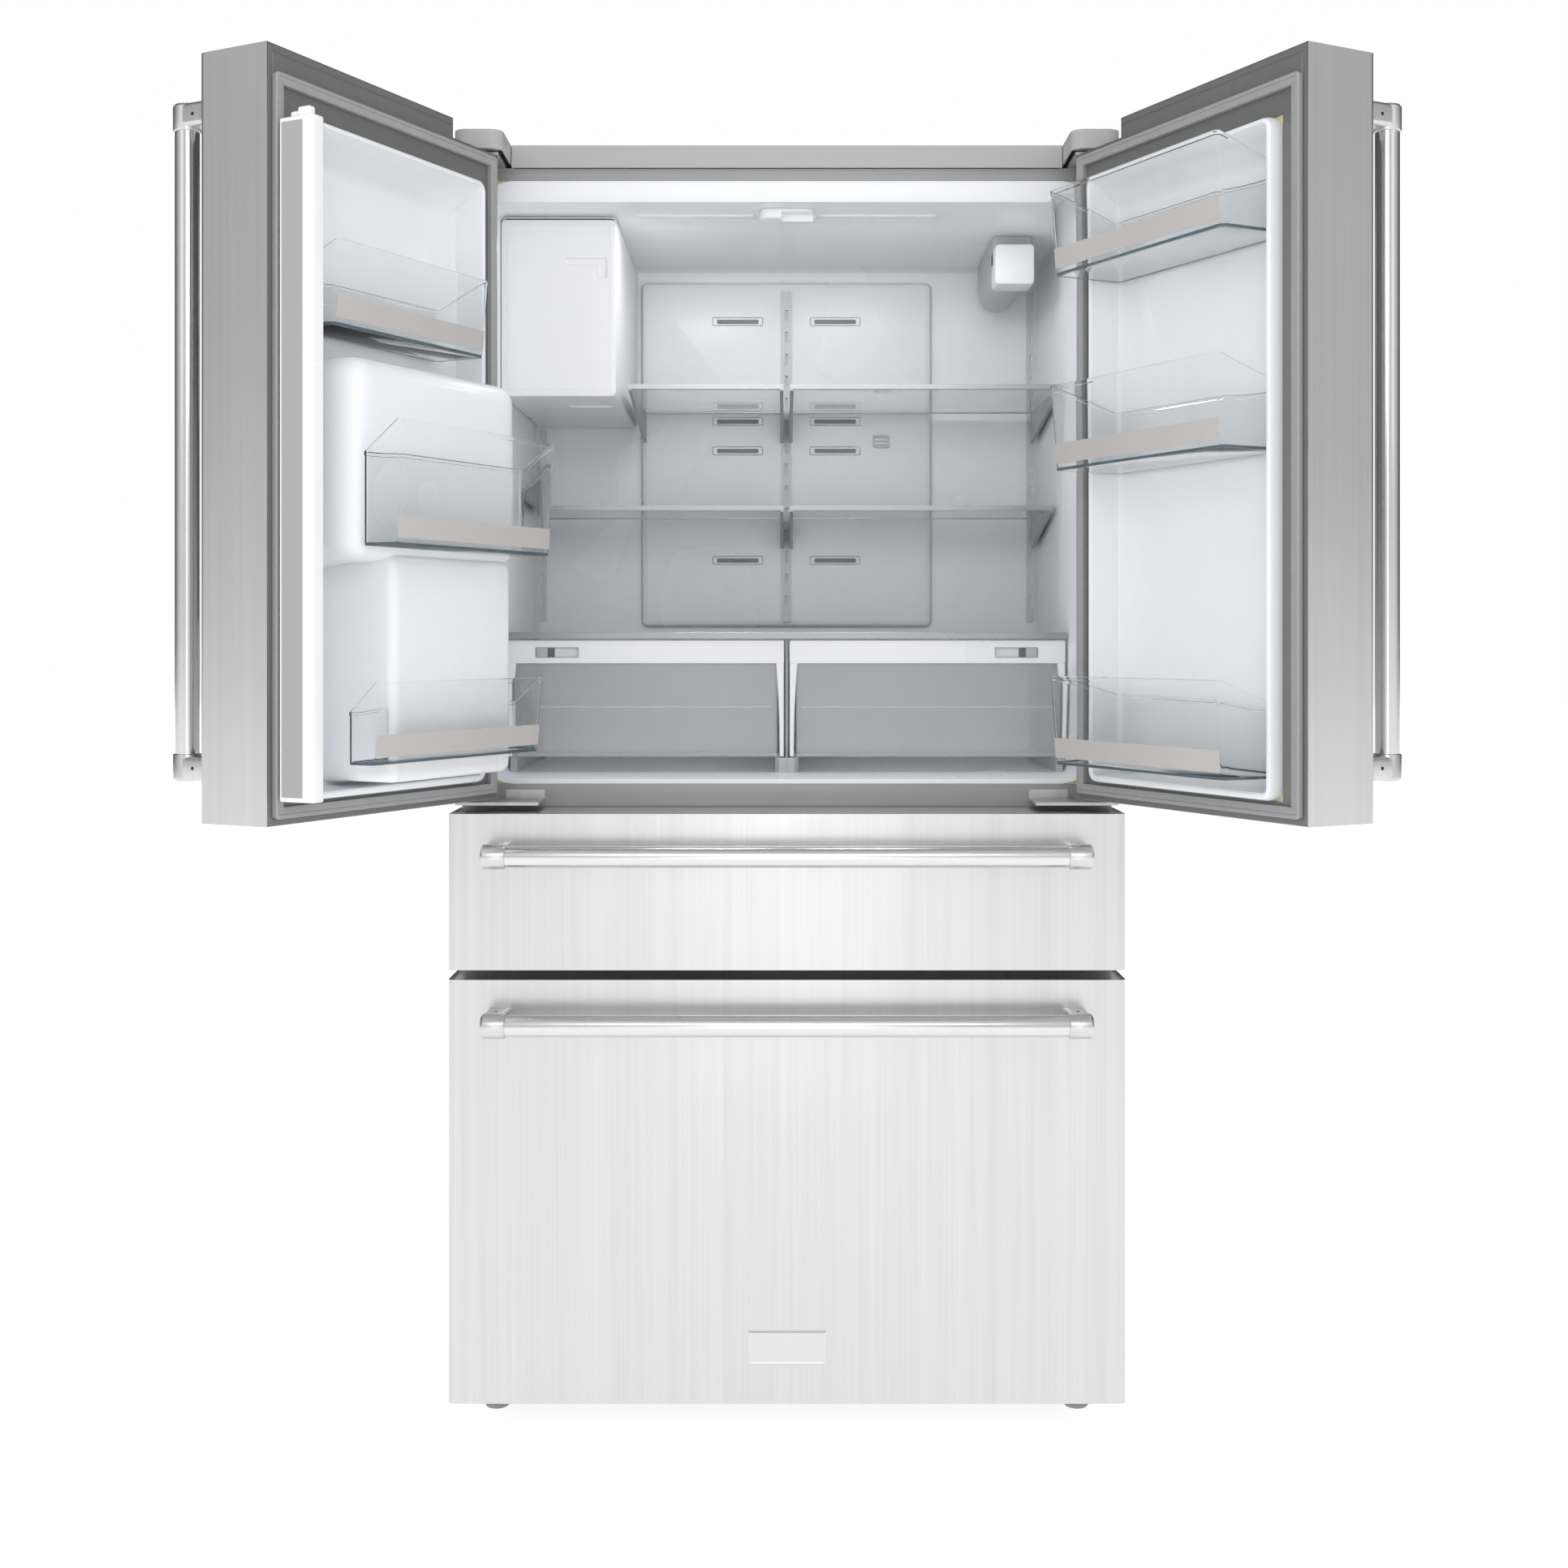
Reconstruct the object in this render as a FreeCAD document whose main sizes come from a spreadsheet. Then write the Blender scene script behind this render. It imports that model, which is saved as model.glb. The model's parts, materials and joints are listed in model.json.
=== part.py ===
"""French door refrigerator with two pull-out freezer drawers.

Axes: +X to the right, +Y from the drawer fronts towards the wall, +Z up, all in millimetres.
Every size below is set in the frame of the closed appliance, whose drawer fronts lie on Y = 0
and whose floor is Z = 0.  Each sub-part is then placed: the doors are turned open about their
hinge pins, and everything is moved back so that the origin is under the middle of the footprint.
"""

import FreeCAD, Part
import Sketcher
import math
import os

os.makedirs("parts", exist_ok=True)
doc = FreeCAD.newDocument("refrigerator")
Vector = FreeCAD.Vector

# ---------------------------------------------------------------------------------------------
# Driving dimensions
# ---------------------------------------------------------------------------------------------

DIMENSIONS = {
    # the stack of fronts, from the floor up
    "overall_width": 908,
    "base_clearance": 60,
    "lower_drawer_height": 567,
    "drawer_gap": 13,
    "upper_drawer_height": 209,
    "door_drawer_gap": 18,
    "door_height": 899,
    "top_reveal": 6,
    "cover_height": 31,
    # cabinet
    "cabinet_depth": 610,
    "door_gap": 8,
    "side_wall": 42,
    "top_wall": 47,
    "fridge_depth": 474,
    "fridge_floor_rise": 21,
    "freezer_side_wall": 50,
    "freezer_depth": 400,
    "freezer_floor_rise": 35,
    "freezer_roof_drop": 14,
    "divider_thickness": 30,
    "frame_gauge": 2,
    "skin_gauge": 1,
    "liner_gauge": 2,
    "top_lip": 30,
    "side_lip": 14,
    "machine_height": 285,
    "machine_wall": 30,
    # doors
    "door_thickness": 104,
    "centre_gap": 6,
    "open_angle": 116.6,
    "hinge_inset": 10,
    "hinge_setback": 52,
    "edge_radius": 9,
    "notch_width": 100,
    "notch_depth": 26,
    "notch_wall": 14,
    "pin_radius": 4.5,
    "pin_clearance": 0.1,
    "pin_depth": 17,
    "plate_gauge": 4,
    "plate_inset": 62,
    "plate_reach": 90,
    "arm_length": 113,
    "flange_length": 54,
    "screw_radius": 6,
    "cover_gauge": 2,
    "cover_reach": 110,
    "hinge_cover_inset": 70,
    "hinge_cover_nose": 30,
    "hinge_cover_round": 18,
    "gasket_width": 14,
    "gasket_clearance": 0.3,
    "gasket_side_inset": 10,
    "gasket_top_inset": 32,
    "gasket_bottom_inset": 8,
    "dyke_side_inset": 48,
    "dyke_centre_inset": 43,
    "dyke_top_inset": 78,
    "dyke_bottom_inset": 26,
    "dyke_height": 18,
    "dyke_width": 10,
    "recess_depth": 30,
    "bin_wall": 2.5,
    "bin_clearance": 2,
    "bin_lean": 10,
    "left_top_bin_inset": 100,
    "left_top_bin_reach": 60,
    "left_top_bin_level": 580,
    "left_top_bin_height": 99,
    "left_middle_bin_inset": 66,
    "left_middle_bin_reach": 140,
    "left_middle_bin_level": 323,
    "left_middle_bin_height": 145,
    "left_bottom_bin_reach": 118,
    "left_bottom_bin_level": 70,
    "left_bottom_bin_height": 96,
    "right_bin_reach": 88,
    "right_bin_height": 110,
    "right_top_bin_level": 691,
    "right_middle_bin_level": 436,
    "right_bottom_bin_level": 52,
    "right_bottom_bin_height": 116,
    # centre mullion on the left door
    "mullion_width": 50,
    "mullion_thickness": 20,
    "mullion_axis_inset": 17,
    "mullion_seal_gap": 0.4,
    "mullion_heel": 7.4,
    "mullion_pin_radius": 2.5,
    "mullion_round": 2,
    # handles
    "bar_radius": 14.3,
    "bar_standoff": 48,
    "bracket_length": 33,
    "bracket_wall": 2.2,
    "bracket_round": 5,
    "door_handle_inset": 32,
    "door_handle_end": 46,
    "drawer_handle_inset": 52,
    "upper_handle_drop": 52,
    "lower_handle_drop": 52,
    # dispenser in the left door
    "dispenser_width": 196,
    "dispenser_height": 340,
    "dispenser_bottom": 250,
    "dispenser_depth": 58,
    "dispenser_rim": 14,
    "paddle_width": 44,
    "paddle_height": 96,
    "housing_height": 237,
    "housing_bottom": 310,
    "housing_reach": 80,
    "lower_housing_inset": 80,
    "lower_housing_width": 245,
    "lower_housing_bottom": 44,
    "lower_housing_reach": 68,
    "housing_round": 12,
    "housing_wall": 3,
    # fridge interior
    "shelf_glass": 4,
    "shelf_frame_width": 12,
    "shelf_frame_height": 5,
    "upper_shelf_level": 1458,
    "upper_shelf_setback": 146,
    "lower_shelf_level": 1285,
    "lower_shelf_setback": 232,
    "shelf_side_gap": 7,
    "shelf_centre_gap": 5,
    "ice_box_width": 166,
    "ice_box_height": 260,
    "ice_box_setback": 84,
    "ice_box_wall": 3,
    "cover_thickness": 8,
    "filter_inset": 40,
    "filter_width": 60,
    "filter_setback": 190,
    "lamp_offset": 46,
    "lamp_length": 170,
    "lamp_setback": 80,
    "lamp_width": 16,
    "guide_width": 76,
    "outlet_offset": 38,
    "outlet_length": 84,
    "outlet_height": 10,
    "outlet_drop_1": 88,
    "outlet_drop_2": 252,
    "outlet_drop_3": 300,
    "outlet_drop_4": 480,
    "crisper_setback": 122,
    "crisper_bottom": 23,
    "crisper_height": 171,
    "crisper_band": 34,
    "crisper_depth": 340,
    "crisper_gap": 4,
    "crisper_wall": 2.5,
    "crisper_lean": 8,
    "window_inset": 40,
    "window_width": 64,
    "window_drop": 10,
    "window_height": 16,
    "knob_width": 16,
    "duct_gap": 6,
    "duct_thickness": 16,
    "track_width": 15,
    "track_depth": 6,
    # freezer drawers
    "basket_wall": 3,
    "basket_depth": 370,
    "lower_basket_drop": 110,
    "lower_slide_rise": 210,
    "upper_basket_drop": 30,
    "upper_slide_rise": 70,
    "slide_height": 34,
    "slide_member": 3.6,
    "slide_gap": 0.4,
    "slide_length": 385,
    # under the cabinet and behind it
    "foot_radius": 19.5,
    "foot_height": 20,
    "foot_setback": 145,
    "foot_inset": 45,
    "roller_radius": 20,
    "roller_width": 22,
    "runner_width": 60,
    "runner_inset": 6,
    "roller_setback": 70,
    "wall_gap": 14,
    "cord_inset": 172,
    "valve_inset": 127,
    "service_rise": 60,
    "slot_offset": 160,
    "slot_length": 180,
    "slot_pitch": 14,
    "slot_rise": 130,
    "compressor_radius": 70,
    "compressor_height": 150,
    "compressor_inset": 227,
    "condenser_inset": 64,
    "condenser_length": 300,
    "tube_radius": 4,
    "tube_pitch": 30,
    "tube_layer": 34,
    "fin_pitch": 24,
    "fan_radius": 62,
    "fan_offset": 18,
    "valve_radius": 5.5,
    "badge_rise_above_edge": 75,
    "badge_width": 104,
    "badge_height": 44.5,
    "badge_rise": 2.5,
}


class Size:
    """A length that carries both its number and the spreadsheet expression that gives it."""

    def __init__(self, value, text):
        self.value = float(value)
        self.text = text

    @staticmethod
    def of(other):
        return other if isinstance(other, Size) else Size(other, repr(float(other)))

    def __add__(self, other):
        other = Size.of(other)
        return Size(self.value + other.value, f"({self.text} + {other.text})")

    def __sub__(self, other):
        other = Size.of(other)
        return Size(self.value - other.value, f"({self.text} - {other.text})")

    def __mul__(self, other):
        other = Size.of(other)
        return Size(self.value * other.value, f"({self.text} * {other.text})")

    def __truediv__(self, other):
        other = Size.of(other)
        return Size(self.value / other.value, f"({self.text} / {other.text})")

    def __radd__(self, other):
        return Size.of(other) + self

    def __rsub__(self, other):
        return Size.of(other) - self

    __rmul__ = __mul__

    def __neg__(self):
        return Size(0, "0") - self

    def __lt__(self, other):
        return self.value < Size.of(other).value


sheet = doc.addObject("Spreadsheet::Sheet", "sizes")
SIZES = {}
for row, (alias, number) in enumerate(DIMENSIONS.items(), start=1):
    sheet.set(f"A{row}", alias)
    sheet.set(f"B{row}", str(number))
    sheet.setAlias(f"B{row}", alias)
    SIZES[alias] = Size(number, f"sizes.{alias}")
doc.recompute()


def size(alias):
    return SIZES[alias]


# Levels and planes that several sub-parts share.
HALF = size("overall_width") / 2
LOWER_BOTTOM = size("base_clearance")
LOWER_TOP = LOWER_BOTTOM + size("lower_drawer_height")
UPPER_BOTTOM = LOWER_TOP + size("drawer_gap")
UPPER_TOP = UPPER_BOTTOM + size("upper_drawer_height")
DOOR_BOTTOM = UPPER_TOP + size("door_drawer_gap")
DOOR_TOP = DOOR_BOTTOM + size("door_height")
OVERALL_TOP = DOOR_TOP + size("top_reveal")
CASE_TOP = OVERALL_TOP - size("cover_height")
CASE_FRONT = size("door_thickness") + size("door_gap")
CASE_REAR = CASE_FRONT + size("cabinet_depth")
FRAME_REAR = CASE_FRONT + size("frame_gauge")
FRIDGE_SIDE = HALF - size("side_wall")
FRIDGE_FLOOR = DOOR_BOTTOM + size("fridge_floor_rise")
FRIDGE_ROOF = CASE_TOP - size("top_wall")
FRIDGE_REAR = CASE_FRONT + size("fridge_depth")
FREEZER_SIDE = HALF - size("freezer_side_wall")
FREEZER_REAR = CASE_FRONT + size("freezer_depth")
FREEZER_FLOOR = LOWER_BOTTOM + size("freezer_floor_rise")
FREEZER_ROOF = UPPER_TOP - size("freezer_roof_drop")
DIVIDER_BOTTOM = LOWER_TOP + size("drawer_gap") / 2 - size("divider_thickness") / 2
DIVIDER_TOP = DIVIDER_BOTTOM + size("divider_thickness")
CASE_BOTTOM = LOWER_BOTTOM - 15
MACHINE_TOP = CASE_BOTTOM + size("machine_height")
MACHINE_FRONT = FREEZER_REAR + size("liner_gauge") + size("machine_wall")
HINGE_X = HALF - size("hinge_inset")
HINGE_Y = size("hinge_setback")
DOOR_REAR = size("door_thickness")

PLATE_BOTTOM = CASE_TOP + 0.2
FLANGE_FRONT = CASE_FRONT - 3
CORD_X = HALF - size("cord_inset")
VALVE_X = -(HALF - size("valve_inset"))
SERVICE_LEVEL = CASE_BOTTOM + size("service_rise")

# ---------------------------------------------------------------------------------------------
# Building blocks
# ---------------------------------------------------------------------------------------------


def in_order(pair):
    low, high = Size.of(pair[0]), Size.of(pair[1])
    return (low, high) if low < high else (high, low)


def box(x, y, z):
    """A block between three pairs of planes, every face tied to the sheet."""
    block = doc.addObject("Part::Box", "block")
    for edge, base, pair in (("Length", "x", x), ("Width", "y", y), ("Height", "z", z)):
        low, high = in_order(pair)
        block.setExpression(edge, (high - low).text)
        block.setExpression(f"Placement.Base.{base}", low.text)
    return block


TURNS = {"x": FreeCAD.Rotation(Vector(0, 1, 0), 90), "y": FreeCAD.Rotation(Vector(1, 0, 0), -90),
         "z": FreeCAD.Rotation()}


def rod(axis, centre, span, radius):
    """A cylinder along an axis: centre gives its two other coordinates, in X, Y, Z order."""
    low, high = in_order(span)
    cylinder = doc.addObject("Part::Cylinder", "rod")
    cylinder.setExpression("Radius", Size.of(radius).text)
    cylinder.setExpression("Height", (high - low).text)
    cylinder.Placement = FreeCAD.Placement(Vector(), TURNS[axis])
    places = dict(zip([name for name in "xyz" if name != axis], centre))
    places[axis] = low
    for name, place in places.items():
        cylinder.setExpression(f"Placement.Base.{name}", Size.of(place).text)
    return cylinder


def fuse(*pieces):
    if len(pieces) == 1:
        return pieces[0]
    joined = doc.addObject("Part::MultiFuse", "fuse")
    joined.Shapes = list(pieces)
    joined.Refine = True
    return joined


def cut(base, *tools):
    result = doc.addObject("Part::Cut", "cut")
    result.Base = base
    result.Tool = fuse(*tools)
    result.Refine = True
    return result


def group(*pieces):
    """Separate solids kept side by side in one sub-part."""
    result = doc.addObject("Part::Compound", "group")
    result.Links = list(pieces)
    return result


def rounded(piece, radius, along, keep=lambda point: True):
    """Round the straight edges that run along an axis and whose middle passes the keep test."""
    doc.recompute()
    direction = Vector(*(float(name == along) for name in "xyz"))
    edges = []
    for number, edge in enumerate(piece.Shape.Edges, start=1):
        if len(edge.Vertexes) != 2 or not isinstance(edge.Curve, Part.Line):
            continue
        chord = (edge.Vertexes[1].Point - edge.Vertexes[0].Point).normalize()
        middle = (edge.Vertexes[1].Point + edge.Vertexes[0].Point) / 2
        if abs(chord.dot(direction)) > 0.999 and keep(middle):
            edges.append((number, Size.of(radius).value, Size.of(radius).value))
    result = doc.addObject("Part::Fillet", "rounded")
    result.Base = piece
    result.Edges = edges
    return result


def sketch_on(body, plane, offset):
    """A sketch on one of the body's own origin planes, moved along the plane's normal."""
    sketch = body.newObject("Sketcher::SketchObject", "outline")
    face = [item for item in body.Origin.OriginFeatures if item.Role == plane][0]
    sketch.AttachmentSupport = (face, [""])
    sketch.MapMode = "FlatFace"
    sketch.setExpression("AttachmentOffset.Base.z", Size.of(offset).text)
    return sketch


def outline(sketch, corners):
    """A closed polygon whose corners are held by distances from the sketch's origin."""
    corners = [(Size.of(u), Size.of(v)) for u, v in corners]
    count = len(corners)
    for index, (u, v) in enumerate(corners):
        next_u, next_v = corners[(index + 1) % count]
        sketch.addGeometry(Part.LineSegment(Vector(u.value, v.value, 0),
                                            Vector(next_u.value, next_v.value, 0)), False)
    for index in range(count):
        sketch.addConstraint(Sketcher.Constraint("Coincident", index, 2, (index + 1) % count, 1))
    for index, corner in enumerate(corners):
        for kind, place in zip(("DistanceX", "DistanceY"), corner):
            number = sketch.addConstraint(Sketcher.Constraint(kind, -1, 1, index, 1, place.value))
            sketch.setExpression(f"Constraints[{number}]", place.text)


# Each origin plane's sketch axes, as the model's axes, and its normal's sign along the third.
PLANE_SIGN = {"XY_Plane": 1, "XZ_Plane": -1, "YZ_Plane": 1}


def extrusion(name, plane, span, corners, hollow=None):
    """A body padded from an outline between two planes; hollow gives a pocket (span, corners)."""
    body = doc.addObject("PartDesign::Body", name)
    sign = PLANE_SIGN[plane]
    for kind, feature_span, points in (("PartDesign::Pad", span, corners),
                                       ("PartDesign::Pocket",) + (hollow or (None, None))):
        if points is None:
            continue
        low, high = in_order(feature_span)
        start = low if sign > 0 else -high
        sketch = sketch_on(body, plane, start)
        outline(sketch, points)
        doc.recompute()
        before = body.Shape.Volume if kind.endswith("Pocket") else 0
        feature = body.newObject(kind, "feature")
        feature.Profile = sketch
        feature.setExpression("Length", (high - low).text)
        feature.Reversed = kind.endswith("Pocket")
        doc.recompute()
        if kind.endswith("Pocket") and not body.Shape.Volume < before:
            raise RuntimeError(f"{name}: the pocket removed nothing")
    return body


def tray(x, y, z, wall, open_side):
    """A box with thin walls, open on one side ("-y" or "+z")."""
    (x0, x1), (y0, y1), (z0, z1) = in_order(x), in_order(y), in_order(z)
    inner_y = (y0 - 1 if open_side == "-y" else y0 + wall, y1 - wall)
    inner_z = (z0 + wall, z1 + 1 if open_side == "+z" else z1 - wall)
    return cut(box((x0, x1), (y0, y1), (z0, z1)), box((x0 + wall, x1 - wall), inner_y, inner_z))


# ---------------------------------------------------------------------------------------------
# Placing: cabinet frame, and door frames turned open about their hinge pins
# ---------------------------------------------------------------------------------------------


def swing(side, x, y):
    """Where a point of a closed door is when that door stands open, seen from above."""
    angle = math.radians(size("open_angle").value) * side
    pivot_x, pivot_y = side * HINGE_X.value, HINGE_Y.value
    dx, dy = x - pivot_x, y - pivot_y
    return (pivot_x + dx * math.cos(angle) - dy * math.sin(angle),
            pivot_y + dx * math.sin(angle) + dy * math.cos(angle))


MULLION_AXIS_X = -(size("centre_gap") / 2 + size("mullion_axis_inset"))
MULLION_AXIS_Y = CASE_FRONT + size("mullion_seal_gap") + size("mullion_thickness") / 2
MULLION_TIP = MULLION_AXIS_Y - size("mullion_heel") + size("mullion_width")
MULLION_FACE = MULLION_AXIS_X + size("mullion_thickness") / 2

MULLION_ROUND = size("mullion_round")

front_reach = min(swing(-1, (MULLION_FACE - MULLION_ROUND).value, (MULLION_TIP - MULLION_ROUND).value)[1]
                  - MULLION_ROUND.value,
                  swing(-1, -size("centre_gap").value / 2, DOOR_REAR.value)[1])
ORIGIN_Y = (front_reach + CASE_REAR.value) / 2

FRAMES = {"cabinet": FreeCAD.Placement(Vector(0, -ORIGIN_Y, 0), FreeCAD.Rotation())}
for side, door in ((-1, "left_door"), (1, "right_door")):
    turn = FreeCAD.Rotation(Vector(0, 0, 1), side * size("open_angle").value)
    pivot = Vector(side * HINGE_X.value, HINGE_Y.value, 0)
    FRAMES[door] = FRAMES["cabinet"].multiply(FreeCAD.Placement(Vector(), turn, pivot))

NODES = []


def node(label, *pieces, frame="cabinet"):
    """Name a sub-part and put it in its place."""
    needs_group = len(pieces) > 1 or pieces[0].TypeId in ("Part::Box", "Part::Cylinder", "Part::Cone")
    part = group(*pieces) if needs_group else pieces[0]
    part.Label = label
    part.Placement = FRAMES[frame]
    NODES.append(part)
    return part


# ---------------------------------------------------------------------------------------------
# Cabinet
# ---------------------------------------------------------------------------------------------

SKIN = size("skin_gauge")
LINER = size("liner_gauge")
INNER = HALF - SKIN


def cabinet_shell():
    """Folded steel wrapper: two sides and a top."""
    outer = box((-HALF, HALF), (CASE_FRONT, CASE_REAR), (CASE_BOTTOM, CASE_TOP))
    inner = box((-INNER, INNER), (CASE_FRONT - 1, CASE_REAR + 1), (CASE_BOTTOM - 1, CASE_TOP - SKIN))
    node("cabinet_shell", cut(outer, inner))


def face_frame():
    """Steel face of the cabinet, with one opening for the fridge and one for each drawer."""
    lip, top_lip = size("side_lip"), size("top_lip")
    plate = box((-INNER, INNER), (CASE_FRONT, FRAME_REAR), (LOWER_BOTTOM + 2, CASE_TOP - SKIN))
    deep = (CASE_FRONT - 1, FRAME_REAR + 1)
    fridge = box((-FRIDGE_SIDE - lip, FRIDGE_SIDE + lip), deep,
                 (FRIDGE_FLOOR - lip / 2, FRIDGE_ROOF + top_lip))
    upper = box((-FREEZER_SIDE - LINER, FREEZER_SIDE + LINER), deep,
                (DIVIDER_TOP - LINER, FREEZER_ROOF + LINER))
    lower = box((-FREEZER_SIDE - LINER, FREEZER_SIDE + LINER), deep,
                (FREEZER_FLOOR - LINER, DIVIDER_BOTTOM + LINER))
    node("face_frame", cut(plate, fridge, upper, lower))


def liners():
    """Vacuum-formed plastic tubs of the fridge and of the two freezer spaces."""
    lip, top_lip = size("side_lip"), size("top_lip")
    tub = box((-FRIDGE_SIDE - LINER, FRIDGE_SIDE + LINER), (CASE_FRONT, FRIDGE_REAR + LINER),
              (FRIDGE_FLOOR - LINER, FRIDGE_ROOF + LINER))
    rim = box((-FRIDGE_SIDE - lip, FRIDGE_SIDE + lip), (CASE_FRONT, FRAME_REAR),
              (FRIDGE_FLOOR - lip / 2, FRIDGE_ROOF + top_lip))
    space = box((-FRIDGE_SIDE, FRIDGE_SIDE), (CASE_FRONT - 1, FRIDGE_REAR), (FRIDGE_FLOOR, FRIDGE_ROOF))
    node("fridge_liner", cut(fuse(tub, rim), space))
    freezers = []
    for bottom, top in ((FREEZER_FLOOR, DIVIDER_BOTTOM), (DIVIDER_TOP, FREEZER_ROOF)):
        freezers.append(tray((-FREEZER_SIDE - LINER, FREEZER_SIDE + LINER),
                             (CASE_FRONT, FREEZER_REAR + LINER), (bottom - LINER, top + LINER),
                             LINER, "-y"))
    node("freezer_liners", *freezers)


def cabinet_foam():
    """Insulation as plain slabs between the wrapper and the liners."""
    fridge_out = FRIDGE_SIDE + LINER
    freezer_out = FREEZER_SIDE + LINER
    rear = CASE_REAR - SKIN
    low = FRIDGE_FLOOR - LINER
    freezer_top = FREEZER_ROOF + LINER
    freezer_low = FREEZER_FLOOR - LINER
    slabs = [
        box((-fridge_out, fridge_out), (FRAME_REAR, rear), (FRIDGE_ROOF + LINER, CASE_TOP - SKIN)),
        box((-fridge_out, fridge_out), (FRIDGE_REAR + LINER, rear), (low, FRIDGE_ROOF + LINER)),
        box((-freezer_out, freezer_out), (FRAME_REAR, rear), (freezer_top, low)),
        box((-freezer_out, freezer_out), (FREEZER_REAR + LINER, rear), (MACHINE_TOP, freezer_top)),
        box((-freezer_out, freezer_out), (FREEZER_REAR + LINER, MACHINE_FRONT), (freezer_low, MACHINE_TOP)),
        box((-freezer_out, freezer_out), (FRAME_REAR, FREEZER_REAR + LINER),
            (DIVIDER_BOTTOM + LINER, DIVIDER_TOP - LINER)),
        box((-freezer_out, freezer_out), (FRAME_REAR, MACHINE_FRONT), (LOWER_BOTTOM + 2, freezer_low)),
    ]
    for side in (-1, 1):
        slabs.append(box((side * fridge_out, side * INNER), (FRAME_REAR, rear), (low, CASE_TOP - SKIN)))
        slabs.append(box((side * freezer_out, side * INNER), (FRAME_REAR, rear), (MACHINE_TOP, low)))
        slabs.append(box((side * freezer_out, side * INNER), (FRAME_REAR, MACHINE_FRONT),
                         (LOWER_BOTTOM + 2, MACHINE_TOP)))
    node("cabinet_foam", *slabs)


def rear_panels():
    """Flat back sheet, and the slotted cover of the machine space with its two cut-outs."""
    sheet_span = (CASE_REAR - SKIN, CASE_REAR)
    back = box((-INNER, INNER), sheet_span, (MACHINE_TOP, CASE_TOP - SKIN))
    cover = box((-INNER, INNER), sheet_span, (CASE_BOTTOM + 10, MACHINE_TOP - 1))
    through = (CASE_REAR - 5, CASE_REAR + 5)
    slots = [box((VALVE_X - 32, VALVE_X + 32), through, (SERVICE_LEVEL - 28, SERVICE_LEVEL + 34))]
    near, length, pitch = size("slot_offset"), size("slot_length"), size("slot_pitch")
    for side in (-1, 1):
        for level in range(9):
            z = CASE_BOTTOM + size("slot_rise") + level * pitch
            slots.append(box((side * near, side * (near + length)), through, (z, z + 5)))
    gland = rod("y", (CORD_X, SERVICE_LEVEL), (CASE_REAR - 16, CASE_REAR - SKIN), 11)
    gland_hole = rod("y", (CORD_X, SERVICE_LEVEL), (CASE_REAR - 20, CASE_REAR + 5), 4.5)
    node("rear_panels", back, cut(fuse(cover, gland), gland_hole, *slots))


def top_covers():
    """Wiring cover along the top front edge, and the two hinge covers beside it."""
    wall = size("cover_gauge")
    front = DOOR_REAR + 2
    rear = CASE_FRONT + size("cover_reach")
    inner_end = HALF - size("hinge_cover_inset")
    node("top_cover", cut(box((-inner_end, inner_end), (front, rear), (CASE_TOP, OVERALL_TOP)),
                          box((-inner_end + wall, inner_end - wall), (front + wall, rear - wall),
                              (CASE_TOP - 1, OVERALL_TOP - wall))))
    nose = HINGE_Y - size("hinge_cover_nose")
    bottom = CASE_TOP + size("plate_gauge") + 1
    near, far = inner_end + 1, HALF - 3
    covers = []
    for side in (-1, 1):
        outer = rounded(box((side * near, side * far), (nose, rear), (bottom, OVERALL_TOP)),
                        size("hinge_cover_round"), "z", lambda point: point.y < HINGE_Y.value)
        inner = (side * (near + wall), side * (far - wall))
        covers.append(cut(outer, box(inner, (nose + 6 * wall, rear - wall), (bottom - 1, OVERALL_TOP - wall))))
    node("hinge_covers", *covers)


def door_hinges():
    """Upper plates on the case top, lower brackets on the face frame, each with its pin."""
    pin, gauge = size("pin_radius"), size("plate_gauge")
    pieces = []
    arm_far = HALF - 3
    for side in (-1, 1):
        plate_x = (side * (HALF - size("plate_inset")), side * (HALF - gauge))
        plate = box(plate_x, (HINGE_Y - 14, CASE_FRONT + size("plate_reach")),
                    (PLATE_BOTTOM, PLATE_BOTTOM + gauge))
        top_pin = rod("z", (side * HINGE_X, HINGE_Y),
                      (DOOR_TOP - size("notch_depth") - size("pin_depth") + 2, CASE_TOP + gauge / 2), pin)
        pieces.append(fuse(plate, top_pin))
        arm_top = DOOR_BOTTOM - 6
        arm_near = arm_far - size("arm_length")
        arm = box((side * arm_near, side * arm_far), (HINGE_Y - 12, CASE_FRONT), (arm_top - gauge, arm_top))
        flange = box((side * arm_near, side * (arm_near + size("flange_length"))), (FLANGE_FRONT, CASE_FRONT),
                     (arm_top - gauge, DOOR_BOTTOM + 6.5))
        low_pin = rod("z", (side * HINGE_X, HINGE_Y),
                      (arm_top - gauge / 2, DOOR_BOTTOM + size("pin_depth") - 2), pin)
        pieces.append(fuse(arm, flange, low_pin))
    node("door_hinges", *pieces, *hinge_screws())


def hinge_screws():
    """Pan-head screws of the upper plates and the lower brackets."""
    plate_top = PLATE_BOTTOM + size("plate_gauge")
    plate_middle = HALF - size("plate_inset") / 2
    flange_middle = HALF - 3 - size("arm_length") + size("flange_length") / 2
    spread = size("flange_length") / 4
    radius = size("screw_radius")
    screws = []
    for side in (-1, 1):
        for place in (CASE_FRONT + 22, CASE_FRONT + size("plate_reach") - 20):
            screws.append(rod("z", (side * plate_middle, place), (plate_top, plate_top + 3), radius))
        for x in (flange_middle - spread, flange_middle + spread):
            screws.append(rod("y", (side * x, DOOR_BOTTOM + 0.5), (FLANGE_FRONT - 2.2, FLANGE_FRONT),
                              radius - 1))
    return screws


# ---------------------------------------------------------------------------------------------
# Fridge interior
# ---------------------------------------------------------------------------------------------

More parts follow.
